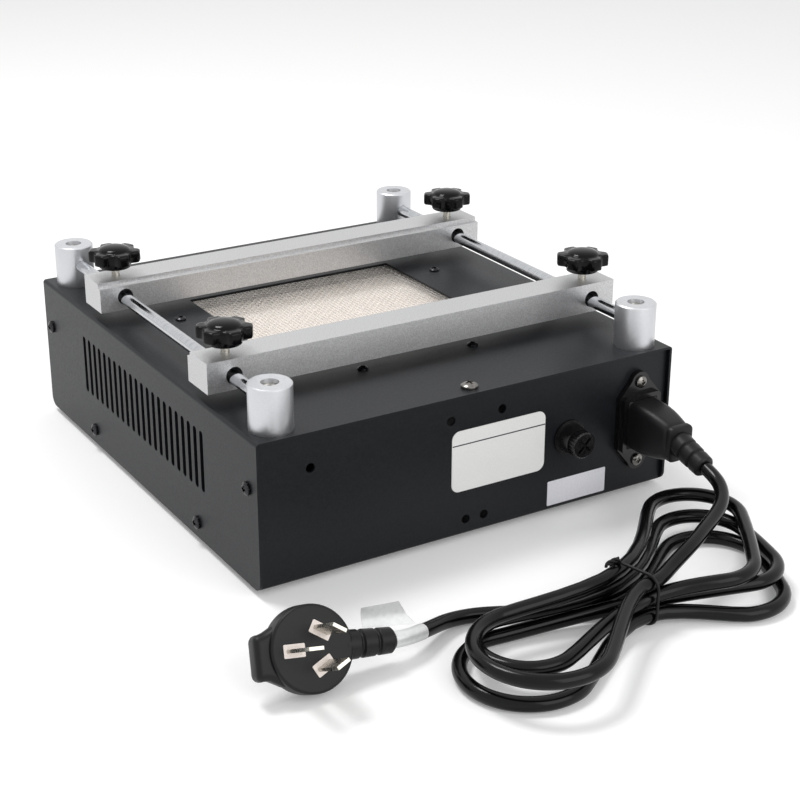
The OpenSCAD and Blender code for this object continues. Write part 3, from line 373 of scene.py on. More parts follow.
# nearly black but clearly metal: its edges and the cross catch the light
black_screw = grained("black_oxide_steel", 0.7, 0.01, ("#2b2b2d", "#454548"), (0.22, 0.34), Metallic=1.0)

# grey and shiny, darker than new nickel
dark_nickel = grained("passivated_steel", 1.0, 0, ("#6e6c69", "#8c8985"), (0.18, 0.26), Metallic=1.0)

# pale and drawn smooth, so each knuckle catches the light; a little browned by heat in patches of a few millimetres
wire_steel = grained("stainless_wire", 6, 0, ("#e2ddd8", "#eeeae6"), (0.12, 0.18), Metallic=1.0)

# dull grey with a zinc spangle of about 8 mm
zinc = grained("galvanised_steel", 8, 0, ("#9fa3a5", "#bcc0c2"), (0.35, 0.5), detail=0.5, Metallic=1.0)

# dark grey stacked sheets under lacquer, seen as fine lines
core_steel = grained(
    "lacquered_core_steel", 0.5, 0.02, ("#4a4c50", "#5e6064"), (0.4, 0.55), stretch=(0.05, 1, 1), Metallic=0.4
)
print("finishes:", len(bpy.data.materials))

# %% [markdown]
# Black plastics and rubber differ by how shiny the mould was. The knobs come from a polished mould, the plug and
# connector from an etched one, and the cord's PVC skin is smooth from the extruder.

# %% Black plastics and rubber
# deep black with small sharp highlights
gloss_plastic = grained(
    "polished_black_plastic", 9, 0.02, ("#060607", "#09090b"), (0.1, 0.16), IOR=1.5, Specular_IOR_Level=0.15
)

# black, satin: the spark-eroded mould leaves a grain of about 0.4 mm
etched_plastic = grained(
    "etched_black_plastic", 0.45, 0.015, ("#101012", "#161618"), (0.36, 0.46), IOR=1.5, Specular_IOR_Level=0.24
)

# black, smoother than the plug: rims and edges catch the light
smooth_plastic = grained(
    "moulded_black_nylon", 1.5, 0.008, ("#0c0c0e", "#121214"), (0.2, 0.27), IOR=1.53, Specular_IOR_Level=0.4
)

# black and shiny, with a thin bright line along each bend
cord_skin = grained(
    "black_pvc_skin", 5, 0.01, ("#050506", "#080809"), (0.16, 0.22), IOR=1.53, Specular_IOR_Level=0.2
)

# dull black
rubber = grained("moulded_rubber", 0.9, 0.04, ("#161616", "#1f1f1f"), (0.7, 0.85), IOR=1.52)
print("finishes:", len(bpy.data.materials))

# %% [markdown]
# The heater's ceramic and felt are chalky and take up the light without a highlight. The boards, the display's pane,
# the buttons and the fuse are smoother, so each shows a weak sheen.

# %% Heater, boards and controls
# pale cream, chalky
ceramic = grained("fired_cordierite_ceramic", 1.4, 0.02, ("#fbf0e6", "#fffaf4"), (0.8, 0.95), IOR=1.5)

# off-white and woolly
felt = grained("ceramic_fibre_felt", 1.5, 0.2, ("#d9d5cc", "#efece6"), (0.9, 1.0), detail=5.0, IOR=1.45)

# green; the glass weave of about 1.2 mm shows through the mask
board = grained("solder_mask_on_glass_epoxy", 1.2, 0.02, ("#12502f", "#196139"), (0.3, 0.4), IOR=1.55)

# dark red and glossy
pane = grained("smoked_acrylic", 20, 0, ("#1d0506", "#2a0809"), (0.05, 0.1), IOR=1.49)

# pale warm grey, satin
pale_plastic = grained("moulded_grey_abs", 0.6, 0.03, ("#c9c9c4", "#d6d6d1"), (0.35, 0.45), IOR=1.53)

# pale and glassy
fuse_glass = grained("fuse_glass_with_nickel_ends", 4, 0, ("#c4c9c9", "#dde2e2"), (0.05, 0.15), IOR=1.5)
print("finishes:", len(bpy.data.materials))

# %% [markdown]
# The plates and the tag are film or paper, pale and even, and only their sheen differs. The plug's inserts and the
# printed rule go with them.

# %% Film, paper and pale plastic
# silver-white and even
label_film = grained(
    "satin_polyester_label", 0.6, 0.004, ("#eaeae8", "#efefed"), (0.4, 0.5), IOR=1.57, Specular_IOR_Level=0.3
)

# cool white
paper = grained(
    "coated_white_paper", 0.8, 0.006, ("#e2e2e8", "#eaeaf0"), (0.55, 0.7), IOR=1.5, Specular_IOR_Level=0.3
)

# pinkish white, plain
insert_plastic = grained("pale_insert_plastic", 0.7, 0.01, ("#efe3dc", "#f6ece6"), (0.4, 0.5), IOR=1.5)

# silver-white film, shiny enough to show streaks along the cord
tag_film = grained("silvered_film", 2.0, 0, ("#dcdddd", "#e6e7e7"), (0.3, 0.36), IOR=1.5, Metallic=0.25)

# dark grey printed line
ink = grained("printed_black_ink", 0.4, 0, ("#26262a", "#323236"), (0.5, 0.6), IOR=1.5)
print("finishes:", len(bpy.data.materials))

# %% [markdown]
# ## Dress the CAD pieces
# The CAD nodes already have the right shape, so each gets its finish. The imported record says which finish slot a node
# belongs to; a short table turns slots into the materials above, and a second one names the nodes that differ.

# %% Finishes by slot and by node
FINISHES = {
    "painted_steel": powder_coat, "rubber": rubber, "black_screw": black_screw, "nickel": nickel,
    "aluminium": anodised, "chrome_rod": chrome, "knob_plastic": gloss_plastic, "mesh_wire": wire_steel,
    "ceramic": ceramic, "fibre_felt": felt, "galvanised": zinc, "circuit_board": board, "core": core_steel,
    "black_plastic": etched_plastic, "display_pane": pane, "pale_plastic": pale_plastic, "brass": brass,
    "fuse_glass": fuse_glass, "cord_pvc": cord_skin,
}
CORNERS = ("front_left", "front_right", "rear_left", "rear_right")
POSTS = ["post_" + corner for corner in CORNERS]
OWN_FINISH = {
    "fuse_holder": smooth_plastic, "fuse_cap": smooth_plastic, "inlet_body": smooth_plastic,
    "inlet_screws": dark_nickel, "top_screws": dark_nickel, **dict.fromkeys(POSTS, satin_anodised),
}
for row in frame["record"]["subparts"]:
    mesh = nodes[row["node"]].data
    mesh.materials.clear()
    mesh.materials.append(OWN_FINISH.get(row["node"], FINISHES[row["material_slot"]]))
cord_curve.materials.append(cord_skin)
bare = [n for n, o in nodes.items() if not o.data.materials or not o.data.materials[0]]
print("nodes without a finish:", bare)

# %% [markdown]
# Real edges are never perfectly sharp: turned posts are broken with a file and mouldings are rounded, and such an edge
# shows as a thin bright line. A weld joins the loose triangles of the CAD mesh, and a bevel then rounds its edges.

# %% Rounded edges
# width in millimetres
EDGES = {
    **dict.fromkeys(POSTS, 0.5), "inlet_body": 0.4, "fuse_holder": 0.3, "fuse_cap": 0.4, "plug_pins": 0.25,
    "side_screws": 0.15, "heater_screws": 0.15, "inlet_screws": 0.15, "top_screws": 0.15,
}
for name, width in EDGES.items():
    weld = nodes[name].modifiers.new("join_corners", "WELD")
    weld.merge_threshold = 0.01 * MM
    edges = nodes[name].modifiers.new("round_edges", "BEVEL")
    edges.width, edges.segments = width * MM, 3
    edges.limit_method, edges.angle_limit = "ANGLE", math.radians(40)
print("rounded:", len(EDGES))

# %% [markdown]
# ## Profiles carried along a path
# The tie is wire and the mesh is wire too. Both are a ring of points carried along a line: at each point the ring
# stands square to the line, between a side vector and its partner. A rod or a plug's head is simpler: rings of a
# profile round a straight axis.

# %% Tubes and turned shapes
UP = (0.0, 0.0, 1.0)


def tube(path, radius, sides, reference=UP, closed=False):
    """Rings round a path: point + radius * (cos a * side + sin a * partner), where side = heading x reference."""
    path = np.asarray(path, float)
    ahead = np.roll(path, -1, -2) - np.roll(path, 1, -2)
    if not closed:
        ahead[..., 0, :] = path[..., 1, :] - path[..., 0, :]
        ahead[..., -1, :] = path[..., -1, :] - path[..., -2, :]
    ahead /= np.linalg.norm(ahead, axis=-1, keepdims=True)
    side = np.cross(ahead, np.broadcast_to(np.array(reference, float), ahead.shape))
    side /= np.linalg.norm(side, axis=-1, keepdims=True)
    partner = np.cross(side, ahead)
    a = np.linspace(0, 2 * np.pi, sides, endpoint=False)[:, None]
    radius = np.asarray(radius, float)
    ring = np.cos(a) * side[..., None, :] + np.sin(a) * partner[..., None, :]
    return path[..., None, :] + (radius[..., None, None] if radius.ndim else radius) * ring


def many_tubes(paths, radius, sides):
    """Open tubes with flat ends, from an array of paths (wire, point, xyz): points and faces of all of them."""
    count, length = paths.shape[:2]
    points = tube(paths, radius, sides)
    quads = grid_faces(length, sides, closed_columns=True)
    offsets = (np.arange(count) * length * sides)[:, None, None]
    walls = (quads[None] + offsets).reshape(-1, 4)
    ends = np.stack([np.arange(sides)[::-1], np.arange(sides) + (length - 1) * sides])
    ends = (ends[None] + offsets).reshape(-1, sides)
    return points, walls.tolist() + ends.tolist()


def turned(radius, height, sides):
    """Rings of a profile turned round Z: one ring of the given radius at each height."""
    a = np.linspace(0, 2 * np.pi, sides, endpoint=False)
    radius, height = radius[:, None], np.broadcast_to(height[:, None], (len(height), sides))
    return np.stack([radius * np.cos(a), radius * np.sin(a), height], -1)


# %% [markdown]
# ## Woven wire over the heater
# The grille is plain-woven stainless wire at a 2 mm pitch. A flat sheet with a picture of a mesh would look wrong at
# this low angle, so each wire is a thin tube that rises and falls over its neighbours: a cosine with a period of two
# pitches, and every other wire in the opposite phase. Wires along X and wires along Y are two pieces.

# %% Woven wire
PITCH, WIRE_D, SWING, WIRE_SIDES = 2.0 * MM, 0.3 * MM, 0.16 * MM, 4
HALF_X, HALF_Y = 70.0 * MM, 66.0 * MM
# an angle that leaves every edge of a piece smooth
ALL_SMOOTH = 180
mesh_low, mesh_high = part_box("heater_mesh")
mesh_middle = (np.array(mesh_low) + np.array(mesh_high)) / 2


def woven(half_length, half_width, phase):
    """Wires side by side at the pitch, each point lifted by phase * SWING * cos(pi * (station / pitch + wire number)),
    with a station every half pitch."""
    wire = np.arange(-round(half_width / PITCH), round(half_width / PITCH) + 1)[:, None]
    station = np.arange(-round(2 * half_length / PITCH), round(2 * half_length / PITCH) + 1)[None, :] * PITCH / 2
    along, across = np.broadcast_arrays(station, wire * PITCH)
    return along, across, phase * SWING * np.cos(np.pi * (station / PITCH + wire))


wires_x = many_tubes(np.stack(woven(HALF_X, HALF_Y, 1), -1) + mesh_middle, WIRE_D / 2, WIRE_SIDES)
wires_y = np.stack(woven(HALF_Y, HALF_X, -1), -1)[..., [1, 0, 2]]
wires_y = many_tubes(wires_y + mesh_middle, WIRE_D / 2, WIRE_SIDES)
weft = make_piece("mesh_wires_across", *wires_x, "housing", wire_steel, "mesh_wire", ALL_SMOOTH)
warp = make_piece("mesh_wires_along", *wires_y, "housing", wire_steel, "mesh_wire", ALL_SMOOTH)
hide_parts("heater_mesh")
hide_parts("heater_mesh")

# %% [markdown]
# ## Guide rods
# A rod is ground and hard chromed: a plain round bar with a small chamfer at each end. It shows its surroundings as
# streaks along its length, so it needs a truly round skin: rings along the axis, drawn in at the ends.

# %% Chromed rods
ROD_CHAMFER, ROD_SIDES = 0.5 * MM, 64
# an end face starts from a tiny ring in its middle: a share of the radius
ROD_MIDDLE = 0.02
for side in ("left", "right"):
    low, high = (np.array(corner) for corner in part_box("guide_rod_" + side))
    r, axis_at = (high[0] - low[0]) / 2, (low + high) / 2 * [1, 0, 1]
    along = np.array([low[1], low[1], low[1] + ROD_CHAMFER, high[1] - ROD_CHAMFER, high[1], high[1]])
    ring_r = np.array([ROD_MIDDLE * r, r - ROD_CHAMFER, r, r, r - ROD_CHAMFER, ROD_MIDDLE * r])
    rings = turned(ring_r, along, ROD_SIDES)[..., [0, 2, 1]] + axis_at
    rod = make_piece("chromed_rod_" + side, *capped(rings), "housing", chrome, "chrome_rod", 30)
    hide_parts("guide_rod_" + side)

# %% [markdown]
# ## Clamp knobs
# A star knob is moulded round its stud: a short hub, six lobes with a rounded rim, and a low domed cap. Its outline is
# a circle with six smaller circles bitten out, so the radius is a smooth minimum of the two. Rows of the profile move
# from the hub's circle to that outline and back to the top of the dome.

# %% Star knobs, in millimetres
KNOB_R, SCALLOP_R, SCALLOP_AT, LOBES, TURNED = 12.5, 4.2, 14.18, 6, math.radians(29)
COLUMNS, CAP_TOP = 96, 10.7
# how tightly the corners between the circles are rounded, and a radius well outside the knob for where no circle bites
CORNER_SHARPNESS, NO_BITE = 2.2, 40.0
# share of the outline, radius added, height: from the roof of the bore, down it, round the lobes, up to the cap
KNOB_ROWS = np.array([
    (0, 2.15, 6.0), (0, 2.15, 5.8), (0, 2.15, 0.2), (0, 2.15, 0.0), (0, 2.4, 0.0), (0, 7.4, 0.0), (0, 7.75, 0.25),
    (0, 7.75, 2.3), (0, 7.95, 2.7), (1, -2.2, 2.7), (1, -0.9, 2.75), (1, -0.25, 3.0), (1, 0.0, 3.6), (1, 0.0, 7.4),
    (1, -0.25, 8.1), (1, -0.9, 8.45), (1, -1.8, 8.5), (0.4, 4.5, 8.55), (0, 7.7, 8.55), (0, 7.5, 8.9), (0, 6.4, 9.7),
    (0, 4.4, 10.35), (0, 2.0, 10.65),
])


def star(angle):
    """Outline radius: the near side of a scallop circle, c*cos f - sqrt(s^2 - c^2 sin^2 f), or the outer circle.
    The smooth minimum -log(exp(-k a) + exp(-k b)) / k rounds the corners between them."""
    f = (angle + np.pi / LOBES) % (2 * np.pi / LOBES) - np.pi / LOBES
    f = np.pi / LOBES - np.abs(f)
    inside = np.maximum(SCALLOP_R**2 - (SCALLOP_AT * np.sin(f)) ** 2, 0)
    bite = np.where(inside > 0, SCALLOP_AT * np.cos(f) - np.sqrt(inside), NO_BITE)
    k = CORNER_SHARPNESS
    return -np.log(np.exp(-k * bite) + math.exp(-k * KNOB_R)) / k


def knob_surface(centre):
    """Rings of the profile: radius = share * outline + added radius, closed by a point in the bore and on the cap."""
    angle = np.linspace(0, 2 * np.pi, COLUMNS, endpoint=False)
    drawn = angle + TURNED
    share, extra, height = KNOB_ROWS.T[:, :, None]
    radius = share * star(angle) + extra
    rings = np.stack([radius * np.cos(drawn), radius * np.sin(drawn), np.broadcast_to(height, radius.shape)], -1)
    roof, cap = np.array([[0, 0, KNOB_ROWS[0, 2]]]), np.array([[0, 0, CAP_TOP]])
    points = np.vstack([rings.reshape(-1, 3), roof, cap]) * MM + centre
    rows = len(KNOB_ROWS)
    j, after = np.arange(COLUMNS), (np.arange(COLUMNS) + 1) % COLUMNS
    last = (rows - 1) * COLUMNS
    low_fan = np.stack([np.full(COLUMNS, rows * COLUMNS), after, j], -1)
    top_fan = np.stack([np.full(COLUMNS, rows * COLUMNS + 1), last + j, last + after], -1)
    quads = grid_faces(rows, COLUMNS, closed_columns=True)
    return points, quads.tolist() + low_fan.tolist() + top_fan.tolist()


for corner in CORNERS:
    low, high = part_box("knob_" + corner)
    surface = knob_surface(np.array([(low.x + high.x) / 2, (low.y + high.y) / 2, low.z]))
    knob = make_piece("star_knob_" + corner, *surface, "knob_" + corner, gloss_plastic, "knob_plastic", ALL_SMOOTH)
    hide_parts("knob_" + corner)

# %% [markdown]
# ## The tie round the hank
# A length of soft coated wire goes once round the waist of the hank and is twisted together on top, and the twist is
# pressed down. The loop is a rounded rectangle in a plane across the hank; the twist is two strands of a helix that
# make one and a half turns.

# %% Wire tie, in millimetres
TIE_R, TIE_SIDES = 0.7, 10
TIE_HALF, TIE_LOW, TIE_HIGH, TIE_CORNER = 12.7, 1.0, 23.9, 5.8
TWIST_TURNS, TWIST_R, TWIST_STATIONS = 1.5, 0.72, 33
# the twist's middle line: where it starts, how far it runs, how much it drops to its end, and the way across it
TWIST_FROM, TWIST_RUN, TWIST_DROP, TWIST_ACROSS = (0.5, -8, TIE_HIGH + 1.3), (4.5, -3), 2.4, (0.64, -0.77)


def rounded_rectangle(half_width, half_height, corner, per_corner=8):
    """Outline of a rectangle whose corners are quarter circles, anticlockwise from its right side."""
    turn = np.linspace(0, np.pi / 2, per_corner)
    angle = (turn[None, :] + np.arange(4)[:, None] * np.pi / 2).ravel()
    middle_x = np.repeat([1, -1, -1, 1], per_corner) * (half_width - corner)
    middle_y = np.repeat([1, 1, -1, -1], per_corner) * (half_height - corner)
    return np.column_stack([middle_x + corner * np.cos(angle), middle_y + corner * np.sin(angle)])


def to_part(points):
    """Hank frame in millimetres to the part's frame in metres."""
    return (from_waist(points) + [0, BODY_Y, 0]) * MM


round_hank = rounded_rectangle(TIE_HALF, (TIE_HIGH - TIE_LOW) / 2, TIE_CORNER) + [0, (TIE_HIGH + TIE_LOW) / 2]
round_hank = np.column_stack([np.zeros(len(round_hank)), round_hank])
loop_points = tube(round_hank, TIE_R, TIE_SIDES, (1.0, 0.0, 0.0), closed=True)
loop_faces = grid_faces(len(round_hank), TIE_SIDES, closed_rows=True, closed_columns=True).tolist()
station = np.linspace(0, 1, TWIST_STATIONS)
turn = 2 * np.pi * TWIST_TURNS * station + np.array([0, np.pi])[:, None]
middle_line = np.stack([
    TWIST_FROM[0] + TWIST_RUN[0] * station, TWIST_FROM[1] + TWIST_RUN[1] * station,
    TWIST_FROM[2] - TWIST_DROP * station**2,
], -1)
off_line = np.stack([np.sin(turn) * TWIST_ACROSS[0], np.sin(turn) * TWIST_ACROSS[1], np.cos(turn)], -1)
strands = many_tubes(middle_line + TWIST_R * off_line, TIE_R, TIE_SIDES)
tie_points, tie_faces = together((loop_points, loop_faces), strands)
tie = make_piece("wire_tie", to_part(tie_points), tie_faces, "housing", etched_plastic, "cord_pvc", 60)
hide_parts("cord_tie")

# %% [markdown]
# ## Bare plates
# A rating plate and a small sticker sit on the rear panel. They are left bare, but for a plain rule across the plate.
# Each is a thin solid: the outline of a rounded rectangle, carried from the panel to the face and drawn in a little at
# the face's edge, which then catches the light.

# %% Plates, in millimetres
# how far a face's edge is drawn in, and the share of the thickness at which that starts
EDGE, EDGE_FROM = 0.15, 0.6


def at_height(outline, z):
    """A flat outline as points at one height."""
    return np.column_stack([outline, np.full(len(outline), z)])


def thin_solid(half, corner, thick, edge=EDGE):
    """Rings of a rounded rectangle: at the base, at 0.6 of the thickness, and a little inside it at the face."""
    outline = rounded_rectangle(*half, corner)
    inner = rounded_rectangle(half[0] - edge, half[1] - edge, corner - edge / 2)
    return capped(np.stack([at_height(outline, 0), at_height(outline, thick * EDGE_FROM), at_height(inner, thick)]))


def plate(name, x_range, z_range, corner, thick, material, lift=0.0):
    """A thin solid on the rear panel: its own x runs against the part's x, its own y is up, its height is outward."""
    half = (abs(x_range[1] - x_range[0]) / 2, abs(z_range[1] - z_range[0]) / 2)
    points, faces = thin_solid(half, corner, thick, min(EDGE, half[1] / 3))
    x, up, out = points.T
    points = np.column_stack([sum(x_range) / 2 - x, out + lift, sum(z_range) / 2 + up]) * MM
    return make_piece(name, points + [0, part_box("chassis")[1].y, 0], faces, "housing", material, "pale_plastic", 30)


plate("rating_plate", (-38.8, 12.1), (25.2, 55.2), 4.0, 0.35, label_film)
plate("rating_plate_rule", (-38.6, 11.9), (48.0, 48.6), 0.2, 0.02, ink, lift=0.35)
plate("lower_sticker", (-75.1, -41.5), (5.4, 17.9), 0.6, 0.2, paper)

# %% [markdown]
# ## The plug's body
# The plug is moulded in one piece round the cord's end: a round head with soft edges, a grip that narrows towards the
# end where fingers pull, and a ribbed sleeve that bends with the cord. The head and the sleeve are turned shapes: rings
# of a profile. The grip is a rounded rectangle carried along its length, with the two sides running in to the end.

# %% The plug's place and the ribbed sleeve, in millimetres
PLUG_AT, PLUG_LEAN, PLUG_ROLL = (124.8, 197.1, 19.3), math.radians(-60), math.radians(-9.5)
plug_place = Matrix.Translation(PLUG_AT) @ Matrix.Rotation(PLUG_LEAN, 4, "X") @ Matrix.Rotation(PLUG_ROLL, 4, "Z")
# radius at the sleeve's root, where its end starts to round, and at its end; then how long that rounding is
SLEEVE_R, SLEEVE_ROUND = (6.1, 5.3, 4.5), 0.9
GROOVE_DEPTH, GROOVE_HALF = 1.1, 0.75
SLEEVE_ROWS, SLEEVE_SIDES = 93, 32


def from_plug(points, place=plug_place):
    """The plug's own frame in millimetres to the part's frame in metres: its face looks along its Z."""
    place = np.array(place)
    return (points @ place[:3, :3].T + place[:3, 3] + [0, BODY_Y, 0]) * MM


def ribbed(length):
    """A strain relief along Z: a taper with a rounded end and two grooves, each a dip of depth * exp(-(d / half)^4)."""
    along = np.linspace(0, length, SLEEVE_ROWS)
    taper = np.interp(along, [0, length - SLEEVE_ROUND, length], SLEEVE_R)
    dips = sum(np.exp(-(((along - length * k / 3) / GROOVE_HALF) ** 4)) for k in (1, 2))
    return turned(taper - GROOVE_DEPTH * dips, along, SLEEVE_SIDES)


print("plug at", PLUG_AT)

# %% Plug body, in millimetres
HEAD_R, HEAD_T, HEAD_SIDES = 17.5, 11.0, 96
BACK_ROUND, FACE_ROUND, HEAD_MIDDLE = 3.0, 1.3, 2.0
bend = np.linspace(0, np.pi / 2, 7)
# radius and height, up from the back, round two soft edges
head_r = [
    [HEAD_MIDDLE], HEAD_R - BACK_ROUND * (1 - np.sin(bend)), HEAD_R - FACE_ROUND * (1 - np.cos(bend)), [HEAD_MIDDLE],
]
head_z = [[-HEAD_T], -HEAD_T + BACK_ROUND * (1 - np.cos(bend)), -FACE_ROUND * (1 - np.sin(bend)), [0]]
head = turned(np.concatenate(head_r), np.concatenate(head_z), HEAD_SIDES)
GRIP_HALF, GRIP_CORNER, GRIP_Z = 4.5, 3.2, -6.3
# distance from the middle, upper side, lower side, how much the section is drawn in all round
GRIP = np.array([
    (0, -17, 16.3, 0), (4, -16.1, 15.8, 0), (8, -14.0, 14.8, 0), (12, -11.6, 13.2, 0), (15, -9.7, 11.7, 0),
    (17.5, -8.4, 10.5, 0), (19.5, -7.7, 10.3, 0), (21, -7.5, 10.5, 0), (22, -7.5, 10.5, 0.4), (22.7, -7.5, 10.5, 1.2),
    (23, -7.5, 10.5, 2.2),
])
outlines = [
    rounded_rectangle((low - high) / 2 - drawn, GRIP_HALF - drawn, GRIP_CORNER - drawn) + [(high + low) / 2, GRIP_Z]
    for _, high, low, drawn in GRIP
]
grip = np.stack([at_height(outline, x)[:, [2, 0, 1]] for outline, x in zip(outlines, GRIP[:, 0])])
# the sleeve starts inside the head and runs towards the cord
SLEEVE_L, SLEEVE_FROM, SLEEVE_Z = 22, -15, -6
x, y, z = np.moveaxis(ribbed(SLEEVE_L), -1, 0)
ribs = np.stack([SLEEVE_FROM - z, y, x + SLEEVE_Z], -1)
plug_points, plug_faces = together(capped(head), capped(grip), capped(ribs))
plug = make_piece("moulded_plug", from_plug(plug_points), plug_faces, "housing", etched_plastic, "black_plastic", 40)
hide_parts("plug_body")

# %% [markdown]
# ## The connector in the inlet
# The cord's other end is moulded round a socket: a nose with three slots that slides over the inlet's pins, a shell
# that narrows on two wide arcs, a collar to pull by, and the same ribbed sleeve, tilted down. All but the sleeve are
# rounded rectangles carried along the way out, and the slots are pockets in the nose's end.

# %% Connector body, in millimetres
SHELL_W, SHELL_H, NOSE_L, NOSE_CORNER, STRAIGHT, ARC_W, ARC_H = 16.5, 24.0, 18.1, 1.0, 6.0, 120, 60
COLLAR_W, COLLAR_H, COLLAR_END, SLEEVE_TILT = 13.6, 17.4, 28.6, math.radians(16)
# heights of the shell's sections, and how much the last two are drawn in
SHELL_Z = np.array([0.3, 2, 4, 6, 9, 12, 15, 18, 21, 23.5, 25.2, 26.0, 26.3])
SHELL_DRAWN = np.array([0] * 11 + [0.5, 1.4])
SHELL_CORNER = np.linspace(3.2, 4.8, len(SHELL_Z))
# where the shell starts: to the side, up, and out from the panel; then how long its sleeve is
CONNECTOR_X, CONNECTOR_Z, CONNECTOR_OUT, CONNECTOR_SLEEVE = -91.4, 39.1, 5.5, 19
connector_at = np.array([CONNECTOR_X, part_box("chassis")[1].y / MM + CONNECTOR_OUT, CONNECTOR_Z])


def arc_in(size, arc, z):
    """Half a width: straight for 6 mm, then size/2 - arc + sqrt(arc^2 - (z - 6)^2)."""
    return size / 2 - arc + np.sqrt(arc**2 - np.maximum(z - STRAIGHT, 0) ** 2)


def sections(rows):
    """Rounded rectangles at each height: rows give height, half width, half height and corner radius."""
    return np.stack([at_height(rounded_rectangle(w, h, r), z) for z, w, h, r in rows])


shell_rows = np.column_stack([
    SHELL_Z, arc_in(SHELL_W, ARC_W, SHELL_Z) - SHELL_DRAWN, arc_in(SHELL_H, ARC_H, SHELL_Z) - SHELL_DRAWN,
    SHELL_CORNER - SHELL_DRAWN,
])
nose_rows = [(z, SHELL_W / 2, SHELL_H / 2, NOSE_CORNER) for z in (-NOSE_L, 0)]
main = sections(np.vstack([nose_rows, shell_rows]))
# height, how much the collar is drawn in, corner radius
COLLAR = [
    (25.4, 0.6, 2.4), (26.0, 0, 3), (COLLAR_END - 0.6, 0, 3), (COLLAR_END - 0.15, 0.2, 2.8), (COLLAR_END, 0.6, 2.4),
]
collar = sections([(z, COLLAR_W / 2 - drawn, COLLAR_H / 2 - drawn, corner) for z, drawn, corner in COLLAR])
x, y, z = np.moveaxis(ribbed(CONNECTOR_SLEEVE), -1, 0)
c, s = math.cos(SLEEVE_TILT), math.sin(SLEEVE_TILT)
tilted = np.stack([x, c * y - s * z, s * y + c * z + COLLAR_END - 1], -1)
body_points, body_faces = together(capped(main), capped(collar), capped(tilted))
print("connector points:", len(body_points))

# %% Slots for the pins
PIN_SLOT, POCKET_FLOOR = np.array([2.8, 4.8]), -1.5
PIN_SLOTS_AT = np.array([(-2, -7), (-2, 7), (2, 0)])
# the nose's end gets a face with three holes in place of its plain one, and a pocket behind each hole
slots = PIN_SLOTS_AT[:, None] + np.array([(1, 1), (-1, 1), (-1, -1), (1, -1)]) * PIN_SLOT / 2
nose_end = main[0, :, :2]
body_faces.remove(list(range(len(nose_end)))[::-1])
first, mouths = len(body_points), slots.reshape(-1, 2)
end_points = [*range(len(nose_end)), *range(first, first + len(mouths))]
cut = tessellate_polygon([[Vector((*p, 0)) for p in ring] for ring in (nose_end, *slots)])
body_faces += [[end_points[k] for k in triangle] for triangle in cut]
for k in range(first, first + len(mouths), 4):
    pocket = k + len(mouths)
    body_faces += [[k + i, k + (i + 1) % 4, pocket + (i + 1) % 4, pocket + i] for i in range(4)]
    body_faces.append([pocket, pocket + 1, pocket + 2, pocket + 3])
body_points = np.vstack([body_points, at_height(mouths, -NOSE_L), at_height(mouths, POCKET_FLOOR)])
body_points = (body_points[:, [0, 2, 1]] * [-1, 1, 1] + connector_at) * MM
connector = make_piece("moulded_connector", body_points, body_faces, "housing", etched_plastic, "black_plastic", 40)
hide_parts("mains_connector")

# %% [markdown]
# ## The plug's inserts
# The three blades are held by pale inserts that end almost flush with the plug's face. They are thin solids of the same
# kind as the plates, each put where its blade stands and turned as the blade is.

# %% Pale inserts round the blades, in millimetres
BLADE_R, INSERT_HALF, INSERT_CORNER, INSERT_T = 7.9, (4.5, 2.65), 0.5, 0.3
# where a blade stands round the face, and which way it is turned, in degrees
BLADES = ((0, 0), (120, 210), (-120, -210))
insert_shells = []
for stands_at, turned_to in BLADES:
    place = plug_place @ Matrix.Rotation(math.radians(stands_at), 4, "Z") @ Matrix.Translation((BLADE_R, 0, 0))
    place = place @ Matrix.Rotation(math.radians(turned_to - stands_at), 4, "Z")
    points, faces = thin_solid(INSERT_HALF, INSERT_CORNER, INSERT_T)
    insert_shells.append((from_plug(points, place), faces))
inserts = make_piece("plug_inserts", *together(*insert_shells), "housing", insert_plastic, "pale_plastic", 30)

# %% [markdown]
# ## The tag on the cord
# A strip of silver-white film is wrapped once round the cord next to the plug, and its ends are stuck together so that
# they stand off as a flag. The wrap is a tube along the cord's own line. The flag is a sheet between four corners,
# bowed a little, with a front and a back.

# %% Tag, in millimetres
TAG_START, TAG_END, FILM, FILM_SIDES = 1.6, 18.0, 0.25, 24
before_plug = np.concatenate([[0], np.cumsum(np.linalg.norm(np.diff(cord_line[::-1], axis=0), axis=1))]) / MM
# stations along the cord; a close pair at each end keeps the wrap's ends square
at = np.array([TAG_START, TAG_START + 0.05, *np.linspace(TAG_START + 0.2, TAG_END - 0.2, 12), TAG_END - 0.05, TAG_END])
wrap_line = np.column_stack([np.interp(at, before_plug, cord_line[::-1, k]) for k in range(3)])
# the wrap's two end rings dip under the cord's skin
wrap_r = np.full(len(at), CORD_D / 2 + FILM)
wrap_r[[0, -1]] = CORD_D / 2 - 0.1
wrap = tube(wrap_line, wrap_r * MM, FILM_SIDES)
# corners of the flag: at the cord and at its free edge, from the far end of the wrap to the plug's end
FLAG = np.array([[(75.2, 185.6, 11.6), (97.5, 183.6, 15.8)], [(79.8, 182.0, 22.1), (97.1, 181.5, 23.8)]])
FLAG_BOW, FLAG_CURL, FLAG_BACK = np.array([0, -0.9, 0]), np.array([-1.2, 0, 0]), np.array([0, -FILM, 0.02])


def flag_sheet(u, v):
    """Blend of four corners, bowed by sin(pi * v), and curled out near the cord by (1 - v)^4 * (1 - u)."""
    low, high = (edge[0] + u * (edge[1] - edge[0]) for edge in FLAG)
    return low + v * (high - low) + np.sin(np.pi * v) * FLAG_BOW + (1 - v) ** 4 * (1 - u) * FLAG_CURL


